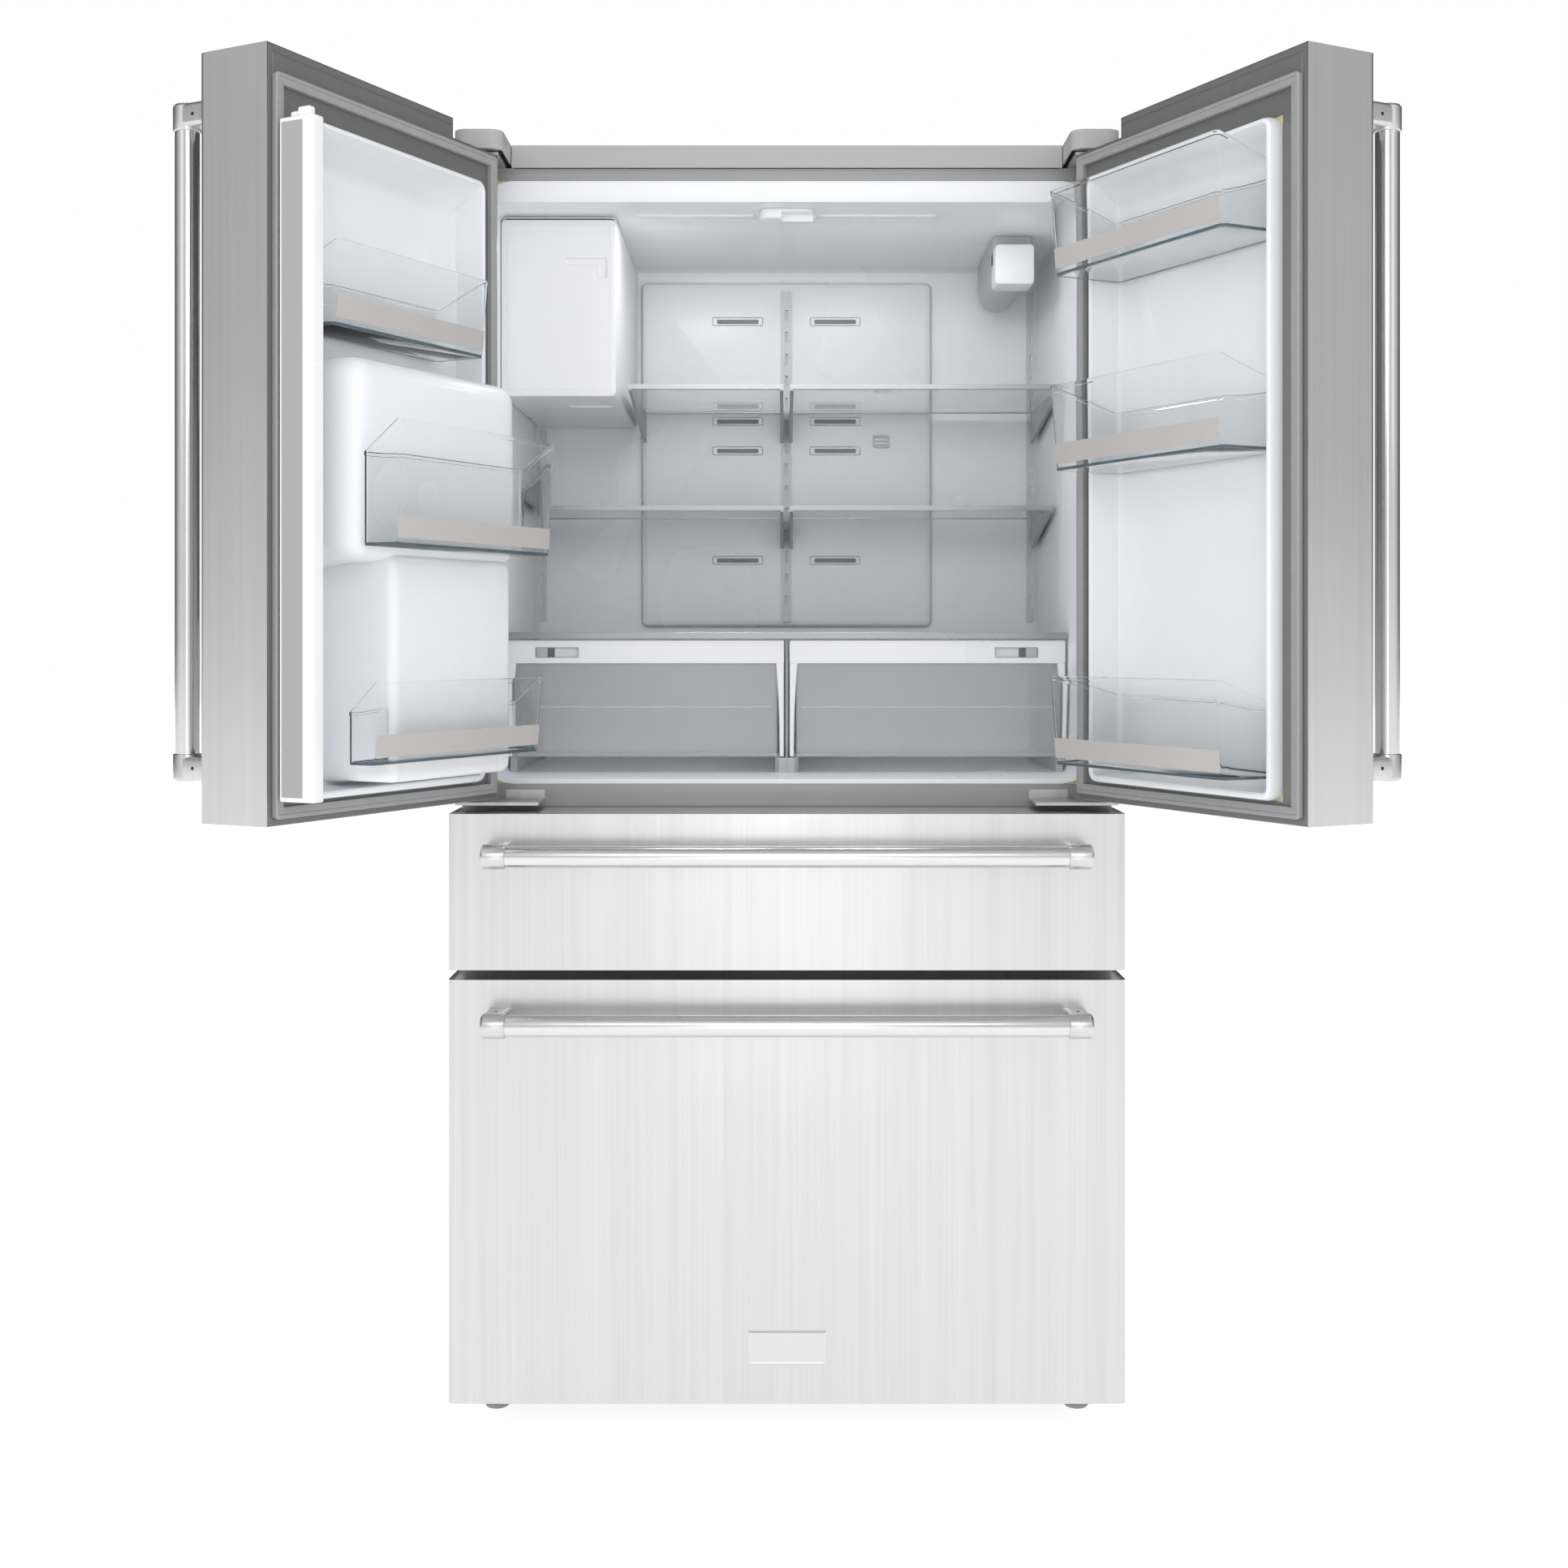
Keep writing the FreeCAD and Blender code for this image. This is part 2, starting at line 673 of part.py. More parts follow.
DUCT_FRONT = FRIDGE_REAR - size("duct_thickness")
ICE_BOX_BOTTOM = FRIDGE_ROOF - 1 - size("ice_box_height")
CRISPER_FRONT = CASE_FRONT + size("crisper_setback")
CRISPER_TOP = FRIDGE_FLOOR + size("crisper_bottom") + size("crisper_height")
CRISPER_SIDE = FRIDGE_SIDE - 4
OUTLET_DROPS = [size(f"outlet_drop_{number}") for number in (1, 2, 3, 4)]


def air_duct():
    """Air duct cover on the back wall with its outlet slots."""
    half = FRIDGE_SIDE - size("ice_box_width") - size("duct_gap")
    panel = box((-half, half), (DUCT_FRONT, FRIDGE_REAR), (FRIDGE_FLOOR + 215, FRIDGE_ROOF - 22))
    near, far = size("outlet_offset"), size("outlet_offset") + size("outlet_length")
    rise = size("outlet_height") / 2
    slots = []
    for drop in OUTLET_DROPS:
        z = FRIDGE_ROOF - drop
        for side in (-1, 1):
            slots.append(box((side * near, side * far), (DUCT_FRONT - 1, DUCT_FRONT + 10),
                             (z - rise, z + rise)))
    node("air_duct_cover", cut(panel, *slots))


def shelf_tracks():
    """Three slotted steel ladders that the shelf brackets hook into."""
    width, depth = size("track_width"), size("track_depth")
    tracks = []
    for place in (-1, 0, 1):
        middle = place * (FRIDGE_SIDE - width / 2 - 1)
        rear = FRIDGE_REAR if place else DUCT_FRONT
        top = ICE_BOX_BOTTOM - 4 if place < 0 else FRIDGE_ROOF - 40
        ladder = box((middle - width / 2, middle + width / 2), (rear - depth, rear), (FRIDGE_FLOOR + 225, top))
        slots = []
        for step in range(8 if place < 0 else 14):
            z = FRIDGE_FLOOR + 250 + step * 36
            slots.append(box((middle - 2.5, middle + 2.5), (rear - depth - 1, rear - 1.5), (z, z + 18)))
        tracks.append(cut(ladder, *slots))
    node("shelf_tracks", *tracks)


def shelves():
    """Glass panes in slim frames carried by two tapered brackets each, and the crisper cover pane."""
    glass, frame_w, frame_h = size("shelf_glass"), size("shelf_frame_width"), size("shelf_frame_height")
    outer = FRIDGE_SIDE - size("shelf_side_gap")
    gap = size("shelf_centre_gap")
    ice_side = FRIDGE_SIDE - size("ice_box_width") - 12
    layout = (
        (-1, ice_side, size("upper_shelf_level"), size("upper_shelf_setback")),
        (1, outer, size("upper_shelf_level"), size("upper_shelf_setback")),
        (-1, outer, size("lower_shelf_level"), size("lower_shelf_setback")),
        (1, outer, size("lower_shelf_level"), size("lower_shelf_setback")),
    )
    panes, frames = [], []
    for side, reach, level, setback in layout:
        front = CASE_FRONT + setback
        rear = DUCT_FRONT - size("track_depth") - 3
        inner, far = side * gap, side * reach
        panes.append(box((inner + side * 3, far - side * 3), (front + 4, rear - 4), (level - glass, level)))
        bottom = level - frame_h
        bars = [box((inner, far), (front, front + frame_w), (bottom, level + 2)),
                box((inner, far), (rear - frame_w, rear), (bottom, level + 2))]
        notch = box((inner + side * 3, far - side * 3), (front + 4, rear - 4), (level - glass, level + 3))
        for low, high in ((inner, inner + side * 5), (far, far - side * 5)):
            x0, x1 = in_order((low, high))
            wedge = doc.addObject("Part::Wedge", "bracket")
            for prop, value in (("Xmin", x0), ("X2min", x0), ("Xmax", x1), ("X2max", x1),
                                ("Ymin", front + 2), ("Ymax", rear),
                                ("Zmin", level - frame_h - 2), ("Zmax", level + 1),
                                ("Z2min", level - 52), ("Z2max", level + 1)):
                wedge.setExpression(prop, value.text)
            bars.append(wedge)
        frames.append(cut(fuse(*bars), notch))
    panes.append(box((-CRISPER_SIDE, CRISPER_SIDE), (CRISPER_FRONT + 4, DUCT_FRONT - 2),
                     (CRISPER_TOP + 4.5, CRISPER_TOP + 8.5)))
    node("shelf_glass", *panes)
    node("shelf_frames", *frames)


def ice_box():
    """Ice maker compartment in the top left corner and its hinged cover."""
    wall = size("ice_box_wall")
    left = -(FRIDGE_SIDE - 1)
    right = -(FRIDGE_SIDE - size("ice_box_width"))
    front = CASE_FRONT + size("ice_box_setback")
    top = FRIDGE_ROOF - 1
    bottom = ICE_BOX_BOTTOM
    body = cut(box((left, right), (front, FRIDGE_REAR - 2), (bottom, top)),
               box((left + wall, right - wall), (front - 1, FRIDGE_REAR - 12), (bottom + wall, top - wall)))
    node("ice_box", body)
    bin_front = front + 14
    node("ice_bin", tray((left + 9, right - 9), (bin_front, FRIDGE_REAR - 60), (bottom + 8, bottom + 128),
                         2.5, "+z"))
    thick = size("cover_thickness")
    cover = box((left, right), (front - thick - 0.5, front - 0.5), (bottom, top - 6))
    pull_x = (right - 78, right - 20)
    pull_z = top - 66
    deep = (front - thick - 2, front - 4)
    pull = fuse(box(pull_x, deep, (pull_z - 12, pull_z)),
                box((right - 34, right - 20), deep, (pull_z - 34, pull_z)))
    node("ice_box_cover", cut(rounded(cover, 5, "y"), pull))


def filter_and_lights():
    """Water filter housing under the roof, and the two lamp lenses."""
    radius = size("filter_width") / 2
    x1 = FRIDGE_SIDE - size("filter_inset")
    middle = x1 - radius
    axis = FRIDGE_ROOF - 50
    front, rear = CASE_FRONT + size("filter_setback"), FRIDGE_REAR - 30
    roof = FRIDGE_ROOF - 0.2
    block = box((x1 - size("filter_width"), x1), (front, rear), (axis, roof))
    barrel = rod("y", (middle, axis), (front, rear), radius)
    bore = rod("y", (middle, axis), (front - 5, rear - 30), radius - 4)
    cartridge = fuse(rod("y", (middle, axis), (front - 6, rear - 40), radius - 5),
                     box((middle - 22, middle + 22), (front - 12, front - 5), (axis - 4, axis + 4)))
    node("water_filter", cut(fuse(block, barrel), bore), cartridge)
    near, far = size("lamp_offset"), size("lamp_offset") + size("lamp_length")
    lamp_front = CASE_FRONT + size("lamp_setback")
    lenses = [box((side * near, side * far), (lamp_front, lamp_front + size("lamp_width")), (roof - 2.8, roof))
              for side in (-1, 1)]
    half = size("guide_width") / 2
    front = MULLION_AXIS_Y + size("mullion_thickness")
    guide = box((-half, half), (front, front + 24), (roof - 14.8, roof))
    groove = box((-8, half + 2), (front - 1, front + 14), (roof - 16, roof - 5.8))
    node("roof_fittings", *lenses, cut(rounded(guide, 8, "z"), groove))


def crispers():
    """Frame under the crisper cover, and two clear drawers with a humidity slide each."""
    front = CRISPER_FRONT
    rear = front + size("crisper_depth")
    bottom = FRIDGE_FLOOR + size("crisper_bottom")
    top = CRISPER_TOP
    outer = CRISPER_SIDE
    gap = size("crisper_gap")
    wall = size("crisper_wall")
    trim = cut(box((-outer - 1, outer + 1), (front - 5, front + 8), (top + 2, top + 12)),
               box((-outer, outer), (front + 4, front + 9), (top + 4.5, top + 8.5)))
    rib = box((-1.5, 1.5), (front + 12, rear), (FRIDGE_FLOOR + 0.2, top + 4.3))
    pieces = [fuse(rib, box((-12, 12), (front + 3, front + 13), (FRIDGE_FLOOR + 0.2, bottom - 1)))]
    for side in (-1, 1):
        for low, high in ((gap + 3, gap + 13), (outer - 12, outer - 2)):
            pieces.append(box((side * low, side * high), (front + 14, rear),
                              (FRIDGE_FLOOR + 0.2, bottom - 0.6)))
    node("crisper_frame", trim, *pieces)
    for side, name in ((-1, "left"), (1, "right")):
        near, far = side * gap, side * outer
        lean = size("crisper_lean")
        tub = tray((near + side * lean, far - side * lean), (front + 3, rear), (bottom, top - 2), wall, "+z")
        band = box((near, far), (front, front + 12), (top - size("crisper_band"), top))
        facing = box((near, far), (front, front + 3), (bottom, top - size("crisper_band")))
        window_far = outer - size("window_inset")
        window_x = (side * (window_far - size("window_width")), side * window_far)
        z1 = top - size("window_drop")
        z0 = z1 - size("window_height")
        window = box(window_x, (front - 1, front + 6), (z0, z1))
        hollow = box((near + side * (lean + wall), far - side * (lean + wall)),
                     (front + 3 + wall, rear - wall), (bottom + wall, top + 1))
        node(f"{name}_crisper", cut(fuse(tub, facing, band), window, hollow))
        knob_far = window_far - 2
        knob = box((side * (knob_far - size("knob_width")), side * knob_far), (front - 2, front + 5.6),
                   (z0 + 1, z1 - 1))
        node(f"{name}_humidity_slide", knob)


# ---------------------------------------------------------------------------------------------
# Doors
# ---------------------------------------------------------------------------------------------


def door_span(side, hinge_inset, centre_inset):
    """X range of something on a door, given as distances in from its two upright edges."""
    return (side * (HALF - hinge_inset), side * (size("centre_gap") / 2 + centre_inset))


def steel_front(x, z, notch=None):
    """Folded steel pan of a door or drawer front, open at the rear, with rounded front edges."""
    x, z = in_order(x), in_order(z)
    radius = size("edge_radius")
    outer = rounded(box(x, (0, DOOR_REAR), z), radius, "z", lambda point: point.y < 1)
    inner_box = box((x[0] + SKIN, x[1] - SKIN), (SKIN, DOOR_REAR + 1), (z[0] + SKIN, z[1] - SKIN))
    inner = rounded(inner_box, radius - SKIN, "z", lambda point: point.y < SKIN.value + 1)
    if notch is None:
        return cut(outer, inner)
    inner_notch, outer_notch = notch
    return cut(cut(outer, outer_notch), cut(inner, inner_notch))


def door_notch(side, wall):
    """Space at a door's top hinge corner for the hinge plate, grown by a wall."""
    width, depth = size("notch_width"), size("notch_depth")
    return box((side * (HALF - width - wall), side * (HALF + 1)), (size("notch_wall") - wall, DOOR_REAR + 2),
               (DOOR_TOP - depth - wall, DOOR_TOP + 1))


def hinge_bores(side):
    radius = size("pin_radius") + size("pin_clearance")
    centre = (side * HINGE_X, HINGE_Y)
    low = rod("z", centre, (DOOR_BOTTOM - 1, DOOR_BOTTOM + size("pin_depth")), radius)
    notch_floor = DOOR_TOP - size("notch_depth")
    high = rod("z", centre, (notch_floor - size("pin_depth"), notch_floor + 1), radius)
    return [low, high]


def recess_box(side, grow, front, rear):
    """The sunk panel of a door liner, grown by a wall."""
    width = size("dyke_width")
    x0, x1 = door_span(side, size("dyke_side_inset") + width - grow, size("dyke_centre_inset") + width - grow)
    return box((x0, x1), (front, rear), (DOOR_BOTTOM + size("dyke_bottom_inset") + width - grow,
                                         DOOR_TOP - size("dyke_top_inset") - width + grow))


LINER_FRONT = DOOR_REAR - size("recess_depth") - LINER
DYKE_REAR = DOOR_REAR + size("dyke_height")
GASKET_REAR = CASE_FRONT - size("gasket_clearance")


def gasket_ring(x_outer, z_outer):
    """Magnetic seal: a closed frame of one section."""
    (x0, x1), (z0, z1) = in_order(x_outer), in_order(z_outer)
    width = size("gasket_width")
    return cut(box((x0, x1), (DOOR_REAR, GASKET_REAR), (z0, z1)),
               box((x0 + width, x1 - width), (DOOR_REAR - 1, GASKET_REAR + 1), (z0 + width, z1 - width)))


def mullion_ears():
    """Two ears on the left door's liner that carry the mullion's pins."""
    x_root = MULLION_FACE - size("mullion_thickness") - 14
    x_stem = MULLION_FACE - size("mullion_thickness") - 1
    ears = []
    for z0, pin_span in ((MULLION_BOTTOM - 4, (MULLION_BOTTOM - 3, MULLION_BOTTOM + 8)),
                         (MULLION_TOP + 1, (MULLION_TOP - 8, MULLION_TOP + 3))):
        ears.append(box((x_root, x_stem), (DOOR_REAR - 1, MULLION_AXIS_Y + 8), (z0, z0 + 3)))
        ears.append(box((x_root, MULLION_AXIS_X + 6), (CASE_FRONT + 0.5, MULLION_AXIS_Y + 8), (z0, z0 + 3)))
        ears.append(rod("z", (MULLION_AXIS_X, MULLION_AXIS_Y), pin_span, size("mullion_pin_radius")))
    return ears


MULLION_BOTTOM = FRIDGE_FLOOR + 8
MULLION_TOP = FRIDGE_ROOF - 16


def mullion():
    """Folding centre post that closes the gap between the doors, folded back as on an open door."""
    x = (MULLION_FACE - size("mullion_thickness"), MULLION_FACE)
    y = (MULLION_AXIS_Y - size("mullion_heel"), MULLION_TIP)
    bore = size("mullion_pin_radius") + size("pin_clearance")
    post = rounded(box(x, y, (MULLION_BOTTOM, MULLION_TOP)), MULLION_ROUND, "z",
                   lambda point: point.y > MULLION_AXIS_Y.value)
    post = rounded(post, size("mullion_heel") - size("mullion_seal_gap"), "z",
                   lambda point: point.y < MULLION_AXIS_Y.value)
    nub = box((MULLION_AXIS_X - 4, MULLION_AXIS_X + 4), (MULLION_TIP - 24, MULLION_TIP - 10),
              (MULLION_TOP - 1, MULLION_TOP + 11))
    holes = [rod("z", (MULLION_AXIS_X, MULLION_AXIS_Y), span, bore)
             for span in ((MULLION_BOTTOM - 1, MULLION_BOTTOM + 9), (MULLION_TOP - 9, MULLION_TOP + 1))]
    node("mullion", cut(fuse(post, nub), *holes), frame="left_door")


def door_bin(name, x, rear, front, bottom, top):
    """Clear door bin: a leaning front, a level rim and a floor, from a side outline."""
    wall = size("bin_wall")
    x0, x1 = in_order(x)
    lean = size("bin_lean")
    sides = [(rear, bottom), (front - lean, bottom), (front, top), (rear, top)]
    inside = [(rear + wall, bottom + wall), (front - lean - wall, bottom + wall),
              (front - wall, top + 1), (rear + wall, top + 1)]
    return extrusion(name, "YZ_Plane", (x0, x1), sides, ((x0 + wall, x1 - wall), inside))


def door(side, name):
    """One insulated door, drawn closed."""
    z = (DOOR_BOTTOM, DOOR_TOP)
    x = door_span(side, 0, 0)
    bores = hinge_bores(side)
    holes = list(bores)
    if side < 0:
        holes.append(dispenser_space(2, (-1, SKIN + 1)))
    skin = steel_front(x, z, (door_notch(side, SKIN), door_notch(side, 0)))
    node(f"{name}_skin", cut(skin, *holes), frame=name)

    tub_front = LINER_FRONT
    flange = box(door_span(side, SKIN, SKIN), (DOOR_REAR - LINER, DOOR_REAR),
                 (DOOR_BOTTOM + SKIN, DOOR_TOP - SKIN))
    dyke = box(door_span(side, size("dyke_side_inset"), size("dyke_centre_inset")),
               (DOOR_REAR - LINER, DYKE_REAR), (DOOR_BOTTOM + size("dyke_bottom_inset"), DOOR_TOP - size("dyke_top_inset")))
    pan = recess_box(side, LINER, tub_front, DOOR_REAR)
    extra = mullion_ears() if side < 0 else []
    liner = fuse(flange, rounded(dyke, 6, "y"), pan, *extra)
    node(f"{name}_liner", cut(liner, recess_box(side, 0, tub_front + LINER, DYKE_REAR + 1),
                              door_notch(side, SKIN)), frame=name)

    rear = DOOR_REAR - LINER
    foam_x = door_span(side, SKIN, SKIN)
    foam = box(foam_x, (SKIN, rear), (DOOR_BOTTOM + SKIN, DOOR_TOP - SKIN))
    soft = rounded(foam, size("edge_radius") - SKIN, "z", lambda point: point.y < SKIN.value + 1)
    spaces = [recess_box(side, LINER, tub_front, DOOR_REAR + 1), door_notch(side, SKIN)] + hinge_bores(side)
    if side < 0:
        spaces.append(dispenser_space(3, (0, size("dispenser_depth") + 3)))
    node(f"{name}_foam", cut(soft, *spaces), frame=name)

    node(f"{name}_gasket", gasket_ring(door_span(side, size("gasket_side_inset"), size("gasket_bottom_inset")),
                                       (DOOR_BOTTOM + size("gasket_bottom_inset"),
                                        DOOR_TOP - size("gasket_top_inset"))), frame=name)
    door_handle(side, name)


def bracket(x, y, z, along):
    """Handle end bracket: a block with rounded corners."""
    return rounded(box(x, y, z), size("bracket_round"), along)


def door_handle(side, name):
    """Upright bar on two end brackets."""
    middle = side * (size("centre_gap") / 2 + size("door_handle_inset"))
    standoff, radius, length = size("bar_standoff"), size("bar_radius"), size("bracket_length")
    low, high = DOOR_BOTTOM + size("door_handle_end"), DOOR_TOP - size("door_handle_end")
    bar = rod("z", (middle, -standoff), (low + length / 2, high - length / 2), radius)
    block = radius + size("bracket_wall")
    ends = []
    for z in ((low, low + length), (high - length, high)):
        ends.append(bracket((middle - block, middle + block), (-standoff - block, 0), z, "z"))
    node(f"{name}_handle", fuse(bar, *ends), frame=name)


def dispenser_space(grow, y):
    """The pocket in the left door's front, grown by a wall."""
    middle = -(HALF + size("centre_gap") / 2) / 2
    half = size("dispenser_width") / 2 + grow
    bottom = DOOR_BOTTOM + size("dispenser_bottom") - grow
    return box((middle - half, middle + half), y, (bottom, bottom + size("dispenser_height") + 2 * grow))


def dispenser():
    """Ice and water outlet: recess with its bezel and control panel, paddle, and inner housing."""
    depth, rim = size("dispenser_depth"), size("dispenser_rim")
    middle = -(HALF + size("centre_gap") / 2) / 2
    bottom = DOOR_BOTTOM + size("dispenser_bottom")
    top = bottom + size("dispenser_height")
    shell = dispenser_space(2, (0, depth + 2))
    bezel = dispenser_space(rim, (-3, 0))
    panel_bottom = top - 92
    opening = dispenser_space(0, (-4, depth))
    visor = box((middle - size("dispenser_width") / 2, middle + size("dispenser_width") / 2),
                (-2, depth - 20), (panel_bottom, top))
    spout = rod("z", (middle, depth / 2), (panel_bottom - 22, panel_bottom + 1), 15)
    tray_z = (bottom, bottom + 12)
    tray_half = size("dispenser_width") / 2 - 12
    drip = box((middle - tray_half, middle + tray_half), (4, depth), tray_z)
    node("dispenser_recess", fuse(cut(fuse(shell, bezel), opening), visor, spout, drip), frame="left_door")
    half = size("paddle_width") / 2
    hinge_z = panel_bottom - 26
    paddle = fuse(box((middle - half, middle + half), (depth - 14, depth - 10),
                      (hinge_z - size("paddle_height"), hinge_z)),
                  rod("x", (depth - 12, hinge_z), (middle - half - 6, middle + half + 6), 4))
    node("dispenser_paddle", paddle, frame="left_door")
    x = door_span(-1, size("dyke_side_inset") + size("dyke_width") + 6,
                  size("dyke_centre_inset") + size("dyke_width") + 6)
    z0 = DOOR_BOTTOM + size("housing_bottom")
    x0, x1 = in_order(x)
    y0, y1 = LINER_FRONT + LINER + 0.2, DOOR_REAR + size("housing_reach")
    z1 = z0 + size("housing_height")
    wall, round_edge = size("housing_wall"), size("housing_round")
    on_rear = lambda point: point.y > DOOR_REAR.value
    upper = rounded(box((x0, x1), (y0, y1), (z0, z1)), round_edge, "x", on_rear)
    upper_hollow = box((x0 + wall, x1 - wall), (y0 - 1, y1 - wall), (z0 + wall, z1 - wall))
    x2 = -(HALF - size("lower_housing_inset"))
    x3 = x2 + size("lower_housing_width")
    y2 = DOOR_REAR + size("lower_housing_reach")
    z2 = DOOR_BOTTOM + size("lower_housing_bottom")
    lower = rounded(box((x2, x3), (y0, y2), (z2, z0 + 1)), round_edge, "z", on_rear)
    lower_hollow = box((x2 + wall, x3 - wall), (y0 - 1, y2 - wall), (z2 + wall, z0 + wall + 1))
    node("dispenser_housing", cut(fuse(upper, lower), upper_hollow, lower_hollow), frame="left_door")


def door_bins():
    """Three bins on each door."""
    gap = size("bin_clearance")
    side_in = size("dyke_side_inset") + size("dyke_width") + gap
    centre_in = size("dyke_centre_inset") + size("dyke_width") + gap
    rear = LINER_FRONT + LINER + 3
    housing_rear = DOOR_REAR + size("housing_reach") + 1.5
    lower_housing_rear = DOOR_REAR + size("lower_housing_reach") + 1.5
    left = (
        ("left_top_bin", size("left_top_bin_inset"), centre_in, rear),
        ("left_middle_bin", size("left_middle_bin_inset"), centre_in + 12, housing_rear),
        ("left_bottom_bin", side_in, centre_in, lower_housing_rear),
    )
    for name, hinge_in, free_in, back in left:
        low = DOOR_BOTTOM + size(f"{name}_level")
        node(name, door_bin("bin", door_span(-1, hinge_in, free_in), back, DOOR_REAR + size(f"{name}_reach"),
                            low, low + size(f"{name}_height")), frame="left_door")
    bins = []
    for name in ("right_top_bin", "right_middle_bin", "right_bottom_bin"):
        low = DOOR_BOTTOM + size(f"{name}_level")
        high = low + size("right_bottom_bin_height" if name == "right_bottom_bin" else "right_bin_height")
        bins.append(door_bin("bin", door_span(1, side_in, centre_in), rear,
                             DOOR_REAR + size("right_bin_reach"), low, high))
    node("right_door_bins", *bins, frame="right_door")


# ---------------------------------------------------------------------------------------------
# Freezer drawers
# ---------------------------------------------------------------------------------------------


def drawer(name, bottom, top, space, basket_z, slide_z, handle_drop):
    """One freezer drawer: steel front, insulated core, basket, telescopic slides and handle."""
    node(f"{name}_front", steel_front((-HALF, HALF), (bottom, top)))
    rear = DOOR_REAR - LINER
    foam = box((-INNER, INNER), (SKIN, rear), (bottom + SKIN, top - SKIN))
    core = rounded(foam, size("edge_radius") - SKIN, "z", lambda point: point.y < SKIN.value + 1)
    panel = box((-INNER, INNER), (rear, DOOR_REAR), (bottom + SKIN, top - SKIN))
    inset = size("gasket_bottom_inset")
    seal_side = FREEZER_SIDE + size("gasket_width")
    seal = gasket_ring((-seal_side, seal_side), (space[0] - inset, space[1] + inset))
    node(f"{name}_core", core, panel, seal)

    member, gap = size("slide_member"), size("slide_gap")
    outer_far = FREEZER_SIDE - gap
    basket_side = outer_far - 3 * (member + gap)
    basket_front = CASE_FRONT + 6
    basket = tray((-basket_side, basket_side), (basket_front, basket_front + size("basket_depth")),
                  basket_z, size("basket_wall"), "+z")
    fixed, middle, inner = [], [], []
    slide_rear = CASE_FRONT + 4 + size("slide_length")
    z = (slide_z, slide_z + size("slide_height"))
    for side in (-1, 1):
        far = outer_far
        fixed.append(box((side * far, side * (far - member)), (CASE_FRONT + 4, slide_rear), z))
        far = far - member - gap
        middle.append(box((side * far, side * (far - member)), (CASE_FRONT + 4, slide_rear),
                          (z[0] + 2, z[1] - 2)))
        far = far - member - gap
        inner.append(box((side * far, side * (far - member)), (DOOR_REAR, slide_rear - 10),
                         (z[0] + 4, z[1] - 4)))
    node(f"{name}_basket", basket, *inner)
    node(f"{name}_slide_links", *middle)
    bar_z = top - handle_drop
    drawer_handle(name, bar_z)
    return fixed


def drawer_handle(name, level):
    """Level bar on two end brackets."""
    standoff, radius, length = size("bar_standoff"), size("bar_radius"), size("bracket_length")
    end = HALF - size("drawer_handle_inset")
    bar = rod("x", (-standoff, level), (-end + length / 2, end - length / 2), radius)
    block = radius + size("bracket_wall")
    ends = []
    for side in (-1, 1):
        ends.append(bracket((side * (end - length), side * end), (-standoff - block, 0),
                            (level - block, level + block), "x"))
    node(f"{name}_handle", fuse(bar, *ends))


def drawers():
    fixed = drawer("lower_drawer", LOWER_BOTTOM, LOWER_TOP, (FREEZER_FLOOR, DIVIDER_BOTTOM),
                   (FREEZER_FLOOR + 12, DIVIDER_BOTTOM - size("lower_basket_drop")),
                   FREEZER_FLOOR + size("lower_slide_rise"), size("lower_handle_drop"))
    fixed += drawer("upper_drawer", UPPER_BOTTOM, UPPER_TOP, (DIVIDER_TOP, FREEZER_ROOF),
                    (DIVIDER_TOP + 8, FREEZER_ROOF - size("upper_basket_drop")),
                    DIVIDER_TOP + size("upper_slide_rise"), size("upper_handle_drop"))
    node("slide_rails", *fixed)
    half = size("badge_width") / 2
    middle = LOWER_BOTTOM + size("badge_rise_above_edge")
    badge = doc.addObject("PartDesign::Body", "badge")
    sketch = sketch_on(badge, "XZ_Plane", 0)
    rise = size("badge_height") / 2
    low, high = middle - rise, middle + rise
    outline(sketch, [(-half, low), (half, low), (half, high), (-half, high)])
    doc.recompute()
    pad = badge.newObject("PartDesign::Pad", "feature")
    pad.Profile = sketch
    pad.setExpression("Length", size("badge_rise").text)
    doc.recompute()
    chamfer = badge.newObject("PartDesign::Chamfer", "bevel")
    front = [f"Face{i}" for i, face in enumerate(pad.Shape.Faces, start=1)
             if abs(face.CenterOfMass.y + size("badge_rise").value) < 0.01]
    chamfer.Base = (pad, front)
    chamfer.Size = 1.6
    node("badge", badge)


# ---------------------------------------------------------------------------------------------
# Base and machine space
# ---------------------------------------------------------------------------------------------


